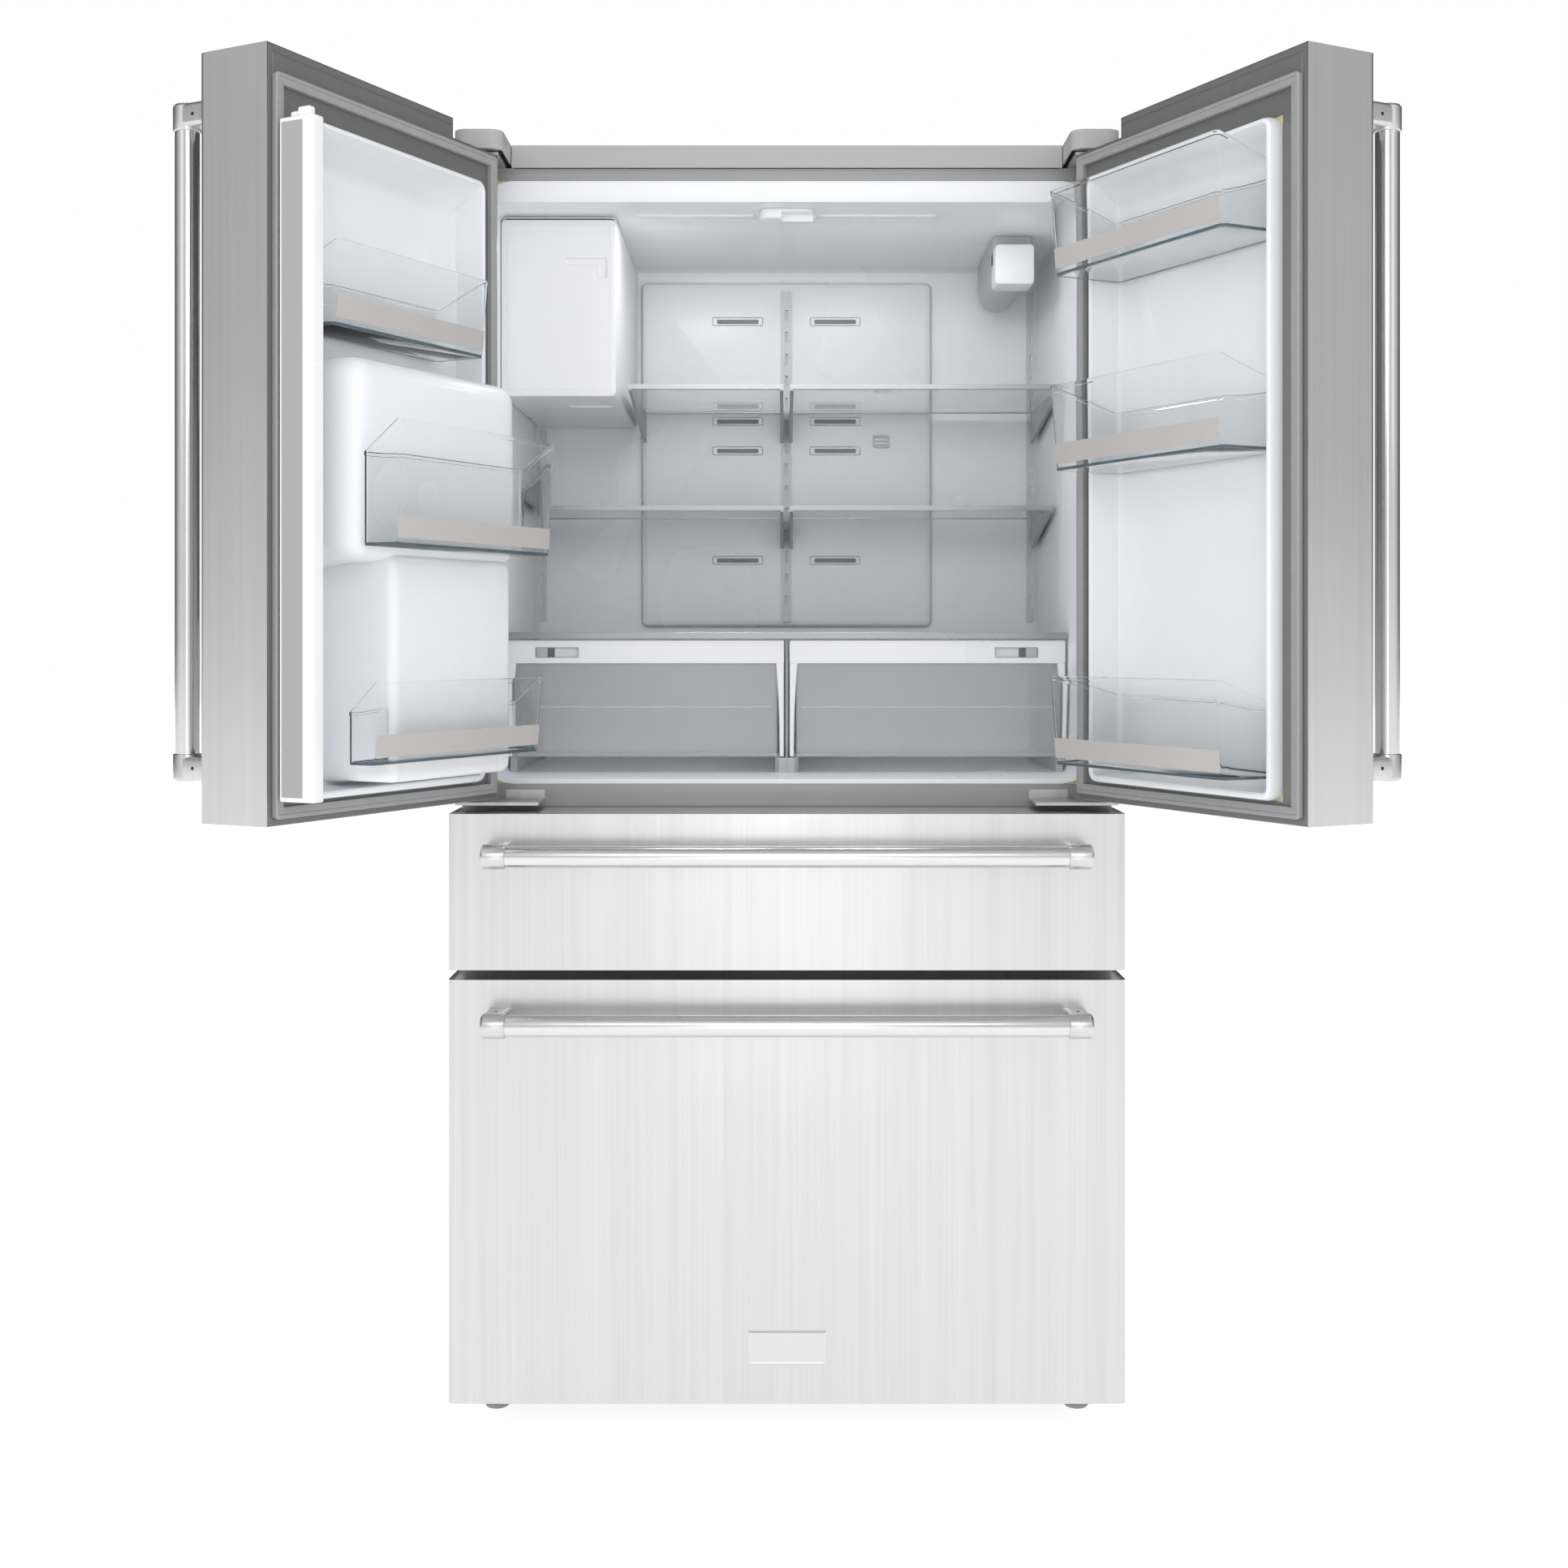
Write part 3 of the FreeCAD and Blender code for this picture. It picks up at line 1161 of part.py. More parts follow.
def base():
    """Chassis runners with a floor plate, levelling feet and rear rollers."""
    outer = HALF - size("runner_inset")
    width = size("runner_width")
    runner_bottom = CASE_BOTTOM - 5
    plate_rear = CASE_REAR - size("wall_gap")
    runners = []
    for side in (-1, 1):
        runners.append(box((side * outer, side * (outer - width)), (CASE_FRONT + 6, plate_rear),
                           (runner_bottom, CASE_BOTTOM - 1)))
    feet = []
    for side in (-1, 1):
        centre = (side * (HALF - size("foot_inset")), size("foot_setback"))
        disc = rod("z", centre, (0, size("foot_height")), size("foot_radius"))
        feet.append(fuse(disc, rod("z", centre, (size("foot_height") - 1, runner_bottom), 6)))
    node("levelling_feet", *feet)
    radius = size("roller_radius")
    wheel_y = CASE_REAR - size("roller_setback")
    wheels, cheeks = [], []
    for side in (-1, 1):
        middle = outer - width / 2
        half = size("roller_width") / 2
        axle = rod("x", (wheel_y, radius), (side * (middle - half - 7), side * (middle + half + 7)), 3)
        tyre = rod("x", (wheel_y, radius), (side * (middle - half), side * (middle + half)), radius)
        wheels.append(fuse(tyre, axle))
        for low in (middle - half - 6, middle + half + 2):
            cheek = box((side * low, side * (low + 4)), (wheel_y - 12, wheel_y + 12),
                        (radius - 10, runner_bottom))
            cheeks.append(cut(cheek, rod("x", (wheel_y, radius), (side * (low - 1), side * (low + 5)), 3.1)))
    node("rear_rollers", *wheels)
    front_beam = box((-outer, outer), (CASE_FRONT + 6, CASE_FRONT + 60), (CASE_BOTTOM - 1, LOWER_BOTTOM + 1.5))
    plate = box((-outer, outer), (CASE_FRONT + 6, plate_rear), (CASE_BOTTOM - 1, CASE_BOTTOM + 2))
    node("chassis", fuse(front_beam, plate, *runners, *cheeks))


def machine_space():
    """Compressor on its plate, condenser coil, fan and water valve."""
    floor = CASE_BOTTOM + 2
    radius, height = size("compressor_radius"), size("compressor_height")
    middle_y = (MACHINE_FRONT + CASE_REAR) / 2
    x = HALF - size("compressor_inset")
    can = doc.addObject("PartDesign::Body", "can")
    sketch = sketch_on(can, "XZ_Plane", 0)
    shoulder = height * 0.22
    profile = [(0, 0), (radius * 0.8, 0), (radius, shoulder), (radius, height - shoulder),
               (radius * 0.8, height), (0, height)]
    outline(sketch, profile)
    doc.recompute()
    turned = can.newObject("PartDesign::Revolution", "turned")
    turned.Profile = sketch
    turned.ReferenceAxis = (sketch, ["V_Axis"])
    turned.Angle = 360
    doc.recompute()
    moved = FreeCAD.Placement(Vector(x.value, middle_y.value, floor.value + 14), FreeCAD.Rotation())
    can.Placement = moved
    legs = [box((x + dx - 12, x + dx + 12), (middle_y + dy - 12, middle_y + dy + 12), (floor, floor + 20))
            for dx in (-45, 45) for dy in (-45, 45)]
    node("compressor", group(can, *legs))
    rows = []
    left = -(HALF - size("condenser_inset"))
    front, bottom = MACHINE_FRONT + 30, floor + 96
    layer_gap, row_gap, fin_gap = size("tube_layer"), size("tube_pitch"), size("fin_pitch")
    for layer in range(4):
        for level in range(5):
            rows.append(rod("x", (front + layer * layer_gap, bottom + level * row_gap),
                            (left, left + size("condenser_length")), size("tube_radius")))
    fins = [box((left + 4 + step * fin_gap, left + 5.5 + step * fin_gap),
                (front - 12, front + 3 * layer_gap + 12), (bottom - 12, bottom + 4 * row_gap + 12))
            for step in range(12)]
    node("condenser", fuse(*rows, *fins))
    hub_x = -size("fan_offset")
    hub_z = floor + 150
    blades = [rod("x", (middle_y, hub_z), (hub_x - 12, hub_x + 12), 16)]
    for turn in range(5):
        blade = box((hub_x - 2, hub_x + 2), (-18, 18), (10, size("fan_radius")))
        holder = doc.addObject("Part::Compound", "blade")
        holder.Links = [blade]
        angle = 72 * turn
        round_hub = FreeCAD.Rotation(Vector(1, 0, 0), angle)
        pose = FreeCAD.Placement(Vector(0, middle_y.value, hub_z.value), round_hub)
        pitch = FreeCAD.Placement(Vector(), FreeCAD.Rotation(Vector(0, 0, 1), 28), Vector(hub_x.value, 0, 0))
        holder.Placement = pose.multiply(pitch)
        blades.append(holder)
    node("condenser_fan", fuse(*blades))
    valve = fuse(box((VALVE_X - 24, VALVE_X + 24), (CASE_REAR - 60, CASE_REAR - 24),
                     (SERVICE_LEVEL - 22, SERVICE_LEVEL + 22)),
                 rod("y", (VALVE_X, SERVICE_LEVEL), (CASE_REAR - 30, CASE_REAR - 4), size("valve_radius")),
                 box((VALVE_X - 24, VALVE_X + 24), (CASE_REAR - 50, CASE_REAR - 46), (floor, SERVICE_LEVEL)))
    node("water_valve", valve)


# ---------------------------------------------------------------------------------------------
# Build, check and write
# ---------------------------------------------------------------------------------------------

cabinet_shell()
face_frame()
liners()
cabinet_foam()
rear_panels()
top_covers()
door_hinges()
air_duct()
shelf_tracks()
shelves()
ice_box()
filter_and_lights()
crispers()
door(-1, "left_door")
door(1, "right_door")
mullion()
dispenser()
door_bins()
drawers()
base()
machine_space()

doc.recompute()
for item in doc.Objects:
    if "Invalid" in item.State or "Error" in item.State:
        raise RuntimeError(f"{item.Name} ({item.TypeId}) failed: {item.State}")
total = FreeCAD.BoundBox()
for part in NODES:
    if part.Shape.isNull() or not part.Shape.isValid() or not part.Shape.Solids:
        raise RuntimeError(f"{part.Label} has no sound solid")
    total.add(part.Shape.BoundBox)
    part.Shape.exportStep(f"parts/{part.Label}.step")
print(f"{len(NODES)} sub-parts; box {total}")
print(f"origin set back {ORIGIN_Y:.3f}")
for side, name in ((-1, "left"), (1, "right")):
    print(f"{name} hinge axis at X {side * HINGE_X.value:.3f}, Y {HINGE_Y.value - ORIGIN_Y:.3f}")
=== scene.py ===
# %% [markdown]
# # A french door refrigerator with both doors standing open
#
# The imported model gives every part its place: steel fronts, cabinet, hinges, slides and glass.
# This lesson dresses that model. Parts whose plain shape is right only get a finish. Parts whose
# real shape is softer, thinner or more detailed are made again here as computed surfaces, and
# stand for the plain part on the same moving body.

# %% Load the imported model
import json
import math

import bmesh
import bpy
import numpy as np
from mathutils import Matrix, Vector


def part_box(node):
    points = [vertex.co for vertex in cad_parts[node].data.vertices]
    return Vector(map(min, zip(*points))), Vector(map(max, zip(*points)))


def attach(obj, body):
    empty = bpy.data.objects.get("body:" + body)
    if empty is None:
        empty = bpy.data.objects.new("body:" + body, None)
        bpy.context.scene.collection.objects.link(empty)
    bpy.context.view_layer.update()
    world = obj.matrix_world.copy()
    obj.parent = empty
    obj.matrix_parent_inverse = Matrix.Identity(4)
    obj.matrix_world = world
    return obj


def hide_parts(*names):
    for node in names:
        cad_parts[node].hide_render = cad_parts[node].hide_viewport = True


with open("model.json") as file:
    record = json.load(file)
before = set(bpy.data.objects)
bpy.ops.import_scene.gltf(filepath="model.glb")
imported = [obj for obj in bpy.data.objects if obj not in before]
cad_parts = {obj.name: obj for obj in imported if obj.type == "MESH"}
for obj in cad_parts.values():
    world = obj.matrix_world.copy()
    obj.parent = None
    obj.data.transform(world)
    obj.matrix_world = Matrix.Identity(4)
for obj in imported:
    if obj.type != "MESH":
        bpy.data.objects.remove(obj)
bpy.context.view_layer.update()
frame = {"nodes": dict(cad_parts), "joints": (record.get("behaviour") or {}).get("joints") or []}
NODES = frame["nodes"]

# %% [markdown]
# ## Measures
#
# A cabinet maker thinks in millimetres, so every shape below is in millimetres and turned into
# metres once, when its mesh is made. A door is easiest to draw shut and flat: across from its
# hinge edge, back from its front face, and up from its foot. The hinge joint then says how such
# a point stands when the door is open.

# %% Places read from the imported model
MM = 0.001


def limits(node):
    """Lowest and highest corner of a CAD node, in millimetres."""
    low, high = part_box(node)
    return np.array(low) / MM, np.array(high) / MM


LEFT, RIGHT = -1, 1
DOOR = {LEFT: "left_door", RIGHT: "right_door"}
HINGE = {side: next(joint for joint in frame["joints"] if joint["child"] == DOOR[side]) for side in DOOR}
HALF_WIDTH = limits("cabinet_shell")[1][0]
FRONT = limits("upper_drawer_front")[0][1]
DOOR_FOOT = limits("left_door_skin")[0][2]
DOOR_HEIGHT = limits("left_door_skin")[1][2] - DOOR_FOOT


def swing(side, plan, sign):
    """Plan points turned about a door's hinge pin: sign 1 opens a shut door, and -1 shuts it."""
    hinge = HINGE[side]
    turn = -sign * math.radians(hinge["axis"][2] * hinge["range_deg"][0])
    centre = np.array(hinge["pos_m"][:2]) / MM
    cosine, sine = math.cos(turn), math.sin(turn)
    return (plan - centre) @ np.array([[cosine, sine], [-sine, cosine]]) + centre


def on_door(side):
    """A function that takes (across, depth, height) on a door to its place on the open door."""
    def place(points):
        """The shut door's point first, then the same point turned about the hinge pin."""
        shut = np.empty_like(points)
        shut[..., 0] = side * (HALF_WIDTH - points[..., 0])
        shut[..., 1] = FRONT + points[..., 1]
        shut[..., 2] = DOOR_FOOT + points[..., 2]
        shut[..., :2] = swing(side, shut[..., :2], 1)
        return shut
    return place


def door_points(side, node):
    """A door node's vertices as (across, depth, height) on the door."""
    points = np.array([vertex.co for vertex in NODES[node].data.vertices]) / MM
    plan = swing(side, points[:, :2], -1)
    return np.stack([HALF_WIDTH - side * plan[:, 0], plan[:, 1] - FRONT, points[:, 2] - DOOR_FOOT], 1)


def door_limits(side, node):
    """The lowest and highest of a door node's points."""
    own = door_points(side, node)
    return own.min(0), own.max(0)


DOOR_WIDTH, DOOR_DEPTH = door_limits(LEFT, "left_door_skin")[1][:2]
print(f"door {DOOR_WIDTH:.1f} x {DOOR_DEPTH:.1f} x {DOOR_HEIGHT:.1f} mm, half width {HALF_WIDTH:.1f}")

# %% [markdown]
# ## Surfaces
#
# Nearly every part of an appliance is a moulding or a pressing: one outline that changes a little
# as it goes along an axis. So three small functions make almost all the shapes: rounded
# rectangles carried along a profile, the same with the profile closed into a frame, and circles
# carried along an axis. Each is computed as a grid of points and skinned with four-sided faces.

# %% Outlines
ARC_STEPS = 4


def rounded_outline(corners, radius, steps=ARC_STEPS):
    """A polygon with arcs for corners. The arc's centre lies on the corner's bisector at r / sin(a/2),
    and its points go from one tangent point to the other by equal angles."""
    corners = np.asarray(corners, float)
    radius = np.broadcast_to(np.asarray(radius, float), len(corners))[:, None]
    back, ahead = np.roll(corners, 1, 0) - corners, np.roll(corners, -1, 0) - corners
    back_length = np.linalg.norm(back, axis=1, keepdims=True)
    ahead_length = np.linalg.norm(ahead, axis=1, keepdims=True)
    back, ahead = back / back_length, ahead / ahead_length
    half = np.arccos(np.clip((back * ahead).sum(1, keepdims=True), -1, 1)) / 2
    radius = np.minimum(radius, 0.49 * np.minimum(back_length, ahead_length) * np.tan(half))
    bisector = (back + ahead) / np.linalg.norm(back + ahead, axis=1, keepdims=True)
    centre = (corners + bisector * radius / np.sin(half))[:, None]
    start = (corners + back * radius / np.tan(half))[:, None] - centre
    end = (corners + ahead * radius / np.tan(half))[:, None] - centre
    turn = (np.pi - 2 * half)[:, None]
    share = np.linspace(0, 1, steps + 1)[None, :, None]
    arc = (np.sin((1 - share) * turn) * start + np.sin(share * turn) * end) / np.sin(turn)
    return (centre + arc).reshape(-1, 2)


def rectangle(span, inset=0.0, corner=2.0):
    """The span (a0, a1, b0, b1) drawn in by one inset, or one for each side, with round corners."""
    inset = np.broadcast_to(np.asarray(inset, float), 4)
    a0, a1, b0, b1 = np.asarray(span, float) + inset * np.array([1, -1, 1, -1])
    return rounded_outline([(a0, b0), (a1, b0), (a1, b1), (a0, b1)], max(corner - inset.min(), 0.3))


def stack(outlines, depths, axes):
    """Outlines set along the third named axis: an array of sections x points x (x, y, z)."""
    outlines = np.asarray(outlines, float)
    depths = np.broadcast_to(np.asarray(depths, float)[:, None, None], outlines.shape[:2] + (1,))
    return np.concatenate([outlines, depths], -1)[..., [axes.index(axis) for axis in "xyz"]]


print("corner arcs have", ARC_STEPS, "steps")

# %% Solids carried along a profile
def moulding(span, profile, corner, axes):
    """Closed solid: each (inset, depth) of the profile gives one rounded rectangle, ends capped."""
    outlines = [rectangle(span, inset, corner) for inset, _ in profile]
    return stack(outlines, [depth for _, depth in profile], axes), False


def surround(span, profile, corner, axes):
    """Closed frame: as a moulding, but the last rectangle joins the first, so it has a hole."""
    return moulding(span, profile, corner, axes)[0], True


def soft_block(low, high, edge=1.0, corner=None, axes="xyz"):
    """Block with rounded edges: at depth e(1 - cos t) from each end, drawn in by e(1 - sin t)."""
    order = ["xyz".index(axis) for axis in axes]
    (a0, b0, c0), (a1, b1, c1) = np.asarray(low, float)[order], np.asarray(high, float)[order]
    edge = min(edge, 0.45 * min(a1 - a0, b1 - b0, c1 - c0))
    t = np.linspace(0, np.pi / 2, ARC_STEPS)
    inset, depth = edge * (1 - np.sin(t)), edge * (1 - np.cos(t))
    profile = list(zip(inset, c0 + depth)) + list(zip(inset[::-1], c1 - depth[::-1]))
    return moulding((a0, a1, b0, b1), profile, corner or edge, axes)


def lathe(centre, profile, axes, sides=32, ripple=0.0, teeth=0):
    """Circles about a centre: each (radius, depth) gives one, r(1 + ripple cos(teeth a)) round it."""
    angle = np.linspace(0, 2 * np.pi, sides, endpoint=False)
    circle = np.stack([np.cos(angle), np.sin(angle)], 1) * (1 + ripple * np.cos(teeth * angle))[:, None]
    outlines = [np.asarray(centre) + radius * circle for radius, _ in profile]
    return stack(outlines, [depth for _, depth in profile], axes), False


def skin(sections, wrap):
    """Faces between neighbouring sections, plus one cap at each end if the loft doesn't wrap."""
    count, size = sections.shape[:2]
    i = np.arange(count if wrap else count - 1)[:, None]
    j = np.arange(size)[None, :]
    ahead, after = ((i + 1) % count) * size, (j + 1) % size
    faces = np.stack([i * size + j, i * size + after, ahead + after, ahead + j], -1).reshape(-1, 4).tolist()
    if not wrap:
        faces += [list(range(size))[::-1], list(range((count - 1) * size, count * size))]
    return faces


# %% Objects from solids
def mesh_of(name, lofts, place=None):
    """One mesh from several lofts, in metres, faces pointing outwards."""
    points, faces = [], []
    for sections, wrap in lofts:
        start = len(points)
        faces += [[index + start for index in face] for face in skin(sections, wrap)]
        flat = sections.reshape(-1, 3)
        points += (place(flat) if place else flat).tolist()
    mesh = bpy.data.meshes.new(name)
    mesh.from_pydata((np.array(points) * MM).tolist(), [], faces)
    shape = bmesh.new()
    shape.from_mesh(mesh)
    bmesh.ops.recalc_face_normals(shape, faces=shape.faces)
    shape.to_mesh(mesh)
    shape.free()
    return mesh


SHARP_ANGLE = math.radians(32)
MADE = []
# Finishes whose pieces let light through, and so throw no shadow.
CLEAR = {"clear_bin_plastic", "crisper_plastic"}


def piece(name, lofts, material, body, stands_for=(), place=None, carve=()):
    """Make an object, cut the carve lofts out of it, give it its finish and hang it on its body."""
    made = bpy.data.objects.new(name, mesh_of(name, lofts, place))
    bpy.context.scene.collection.objects.link(made)
    for loft in carve:
        cutter = bpy.data.objects.new("cutter", mesh_of("cutter", [loft], place))
        bpy.context.scene.collection.objects.link(cutter)
        cut = made.modifiers.new("cut", "BOOLEAN")
        cut.object, cut.operation, cut.solver = cutter, "DIFFERENCE", "EXACT"
        made.data = bpy.data.meshes.new_from_object(
            made.evaluated_get(bpy.context.evaluated_depsgraph_get()))
        made.modifiers.clear()
        bpy.data.objects.remove(cutter)
    made.data.name = name
    made.data.materials.clear()
    made.data.materials.append(material)
    made.data.shade_smooth()
    made.data.set_sharp_from_angle(angle=SHARP_ANGLE)
    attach(made, body)
    if stands_for:
        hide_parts(*stands_for)
    made.visible_shadow = material.name not in CLEAR
    MADE.append(made)
    return made


# %% [markdown]
# ## Shared effects
#
# Three effects come back in many finishes, so each is a node group built once. Grain is noise
# stretched along the direction in which metal was brushed or plastic was moulded. Handling is
# the broad, faint change of gloss that hands and cloths leave. Dust settles on faces that look up.

# %% Node groups
def node_group(name, inputs, outputs):
    """An empty shader group with its sockets, and its input and output nodes."""
    tree = bpy.data.node_groups.new(name, "ShaderNodeTree")
    for label, kind, value in inputs:
        tree.interface.new_socket(label, in_out="INPUT", socket_type=kind).default_value = value
    for label, kind in outputs:
        tree.interface.new_socket(label, in_out="OUTPUT", socket_type=kind)
    return tree, tree.nodes.new("NodeGroupInput"), tree.nodes.new("NodeGroupOutput")


def add(tree, kind, links=(), **settings):
    """A node with its settings, and its inputs linked or given values: (socket, source or value)."""
    node = tree.nodes.new(kind)
    for key, value in settings.items():
        setattr(node, key, value)
    for socket, source in links:
        if isinstance(source, bpy.types.NodeSocket):
            tree.links.new(source, node.inputs[socket])
        else:
            node.inputs[socket].default_value = source
    return node


VECTOR, FLOAT = "NodeSocketVector", "NodeSocketFloat"
GRAIN, at, out = node_group(
    "grain", [("Vector", VECTOR, (0, 0, 0)), ("Stretch", VECTOR, (1, 1, 1)), ("Contrast", FLOAT, 1)],
    [("Shade", FLOAT), ("Height", FLOAT)])
drawn = add(GRAIN, "ShaderNodeVectorMath", [(0, at.outputs[0]), (1, at.outputs[1])], operation="MULTIPLY")
fine = add(GRAIN, "ShaderNodeTexNoise", [("Vector", drawn.outputs[0]), ("Scale", 1.0), ("Detail", 3.0)])
broad = add(GRAIN, "ShaderNodeTexNoise", [("Vector", drawn.outputs[0]), ("Scale", 0.16), ("Detail", 1.0)])
both = add(GRAIN, "ShaderNodeMath", [(0, fine.outputs[0]), (1, broad.outputs[0])], operation="ADD")
centred = add(GRAIN, "ShaderNodeMath", [(0, both.outputs[0]), (1, 1.0)], operation="SUBTRACT")
shade = add(GRAIN, "ShaderNodeMath", [(0, centred.outputs[0]), (1, at.outputs[2]), (2, 0.5)],
            operation="MULTIPLY_ADD", use_clamp=True)
GRAIN.links.new(shade.outputs[0], out.inputs[0])
GRAIN.links.new(fine.outputs[0], out.inputs[1])

HANDLING, at, out = node_group("handling", [("Vector", VECTOR, (0, 0, 0)), ("Fineness", FLOAT, 3)],
                               [("Mask", FLOAT)])
cloud = add(HANDLING, "ShaderNodeTexNoise", [("Vector", at.outputs[0]), ("Scale", at.outputs[1]),
                                             ("Detail", 2.0)])
mask = add(HANDLING, "ShaderNodeMapRange", [("Value", cloud.outputs[0]), ("From Min", 0.3),
                                            ("From Max", 0.7)], interpolation_type="SMOOTHSTEP")
HANDLING.links.new(mask.outputs[0], out.inputs[0])

DUST, at, out = node_group("dust", [("Vector", VECTOR, (0, 0, 0)), ("Normal", VECTOR, (0, 0, 1)),
                                    ("Amount", FLOAT, 0.1)], [("Mask", FLOAT)])
facing = add(DUST, "ShaderNodeSeparateXYZ", [(0, at.outputs[1])])
upward = add(DUST, "ShaderNodeMapRange", [("Value", facing.outputs[2]), ("From Min", 0.6), ("From Max", 1.0)])
specks = add(DUST, "ShaderNodeTexNoise", [("Vector", at.outputs[0]), ("Scale", 26.0), ("Detail", 6.0)])
spread = add(DUST, "ShaderNodeMath", [(0, specks.outputs[0]), (1, upward.outputs[0])], operation="MULTIPLY")
share = add(DUST, "ShaderNodeMath", [(0, spread.outputs[0]), (1, at.outputs[2])], operation="MULTIPLY")
DUST.links.new(share.outputs[0], out.inputs[0])
print("groups", GRAIN.name, HANDLING.name, DUST.name)

# %% [markdown]
# ## Finishes
#
# One recipe makes every finish. Grain picks between a light and a dark tone of the same stuff,
# handling marks move the roughness between two values, and the grain's height feeds a bump. What
# is the same all over, such as metal or glass weight, is set on the shader itself.

# %% One recipe for a finish
def linear(grey):
    """A grey or colour as the eye reads it, 0 to 1, turned into light: c ** 2.2."""
    levels = np.broadcast_to(np.asarray(grey, float), 3) ** 2.2
    return (*levels.tolist(), 1.0)


FINISHES = {}


def finish(name, tone, spread=0.02, gloss=(0.3, 0.4), stretch=(90, 90, 90), contrast=1.0, bump=0.0,
           depth=0.0002, dust=0.0, **shader):
    """Tone is the middle colour and spread the grain's reach each way; gloss is the two roughnesses."""
    material = bpy.data.materials.new(name)
    material.use_nodes = True
    tree = material.node_tree
    surface = tree.nodes["Principled BSDF"]
    place = tree.nodes.new("ShaderNodeTexCoord")
    grain = add(tree, "ShaderNodeGroup", node_tree=GRAIN)
    tree.links.new(place.outputs["Object"], grain.inputs["Vector"])
    grain.inputs["Stretch"].default_value = stretch
    grain.inputs["Contrast"].default_value = contrast
    tone = np.broadcast_to(np.asarray(tone, float), 3)
    blend = add(tree, "ShaderNodeMix", data_type="RGBA")
    blend.inputs[6].default_value = linear(np.clip(tone - spread, 0, 1))
    blend.inputs[7].default_value = linear(np.clip(tone + spread, 0, 1))
    tree.links.new(grain.outputs["Shade"], blend.inputs[0])
    colour = blend.outputs[2]
    if dust:
        film = add(tree, "ShaderNodeGroup", node_tree=DUST)
        tree.links.new(place.outputs["Object"], film.inputs["Vector"])
        tree.links.new(place.outputs["Normal"], film.inputs["Normal"])
        film.inputs["Amount"].default_value = dust
        dusty = add(tree, "ShaderNodeMix", data_type="RGBA")
        dusty.inputs[7].default_value = linear((0.78, 0.77, 0.75))
        tree.links.new(colour, dusty.inputs[6])
        tree.links.new(film.outputs["Mask"], dusty.inputs[0])
        colour = dusty.outputs[2]
    tree.links.new(colour, surface.inputs["Base Color"])
    marks = add(tree, "ShaderNodeGroup", node_tree=HANDLING)
    tree.links.new(place.outputs["Object"], marks.inputs["Vector"])
    rough = add(tree, "ShaderNodeMapRange", [("Value", marks.outputs[0]), ("To Min", gloss[0]),
                                             ("To Max", gloss[1])])
    tree.links.new(rough.outputs[0], surface.inputs["Roughness"])
    if bump:
        relief = add(tree, "ShaderNodeBump", [("Height", grain.outputs["Height"]), ("Strength", bump),
                                              ("Distance", depth)])
        tree.links.new(relief.outputs[0], surface.inputs["Normal"])
    for socket, value in shader.items():
        surface.inputs[socket.replace("_", " ")].default_value = value
    FINISHES[name] = material
    return material


# %% The finishes of this appliance
BRUSHED_UP = (420, 420, 3)
STEEL = finish("brushed_stainless", 0.84, 0.02, (0.27, 0.33), BRUSHED_UP, 1.2, 0.12, 0.00005, Metallic=1.0)
SATIN_BAR = finish("satin_handle_tube", 0.88, 0.02, (0.16, 0.22), (300, 300, 300), 0.6, 0.04, 0.00003,
                   Metallic=1.0)
CHROME = finish("polished_badge", 0.86, 0.01, (0.12, 0.18), (200, 200, 200), 0.6, Metallic=1.0)
ZINC = finish("zinc_plate", 0.76, 0.05, (0.3, 0.42), (60, 60, 60), 1.4, 0.06, Metallic=1.0)
DOOR_BACK = finish("grey_door_frame", 0.5, 0.012, (0.38, 0.46), BRUSHED_UP, 1.0, 0.05, Metallic=0.35)
FACE_GREY = finish("face_frame_steel", 0.6, 0.02, (0.32, 0.4), (3, 420, 420), 1.2, 0.08, Metallic=0.6)
PAINT = finish("side_enamel", 0.66, 0.008, (0.36, 0.44), (900, 900, 900), 0.8, 0.1, 0.0001, dust=0.25)
COVER = finish("cover_plastic", 0.70, 0.01, (0.4, 0.48), (1400, 1400, 1400), 1.0, 0.15, 0.0001, dust=0.2)
GASKET = finish("gasket_vinyl", 0.62, 0.015, (0.45, 0.6), (500, 500, 500), 1.0, 0.08)
WHITE = finish("liner_plastic", (0.945, 0.953, 0.968), 0.006, (0.2, 0.28), (260, 260, 260), 0.8, 0.03, 0.0001)
BRIGHT_WHITE = finish("bright_moulding", (0.965, 0.965, 0.97), 0.005, (0.26, 0.34), (300, 300, 300),
                      0.8, 0.03)
# Grey plastic of the drip slats, also used as painted shade for the air outlet slots.
SLAT_GREY_AND_SLOT_SHADE = finish("grey_slat_plastic_and_slot_shade", (0.52, 0.54, 0.57), 0.03, (0.4, 0.5), (200, 200, 200), 1.0, 0.05)
BIN = finish("clear_bin_plastic", (0.99, 0.995, 0.997), 0.002, (0.015, 0.04), (30, 30, 30), 1.0,
             Transmission_Weight=1.0, IOR=1.18)
TEAL = finish("bin_foot_plastic", (0.42, 0.5, 0.53), 0.02, (0.1, 0.16), (60, 60, 60), 1.0,
              Transmission_Weight=0.6)
GLASS = finish("shelf_glass", (0.965, 0.982, 0.98), 0.004, (0.0, 0.02), (20, 20, 20), 1.0,
               Transmission_Weight=1.0, IOR=1.25)
CRISPER = finish("crisper_plastic", (0.985, 0.988, 0.994), 0.006, (0.03, 0.05), (30, 30, 30), 1.0,
                 Transmission_Weight=0.9, IOR=1.15)
FROSTED = finish("frosted_plastic", (0.93, 0.945, 0.955), 0.006, (0.3, 0.38), (90, 90, 90), 1.0,
                 Transmission_Weight=0.45, IOR=1.35)
LABEL = finish("label_strip", (0.74, 0.725, 0.715), 0.008, (0.35, 0.42), (300, 300, 300), 1.0, 0.04)
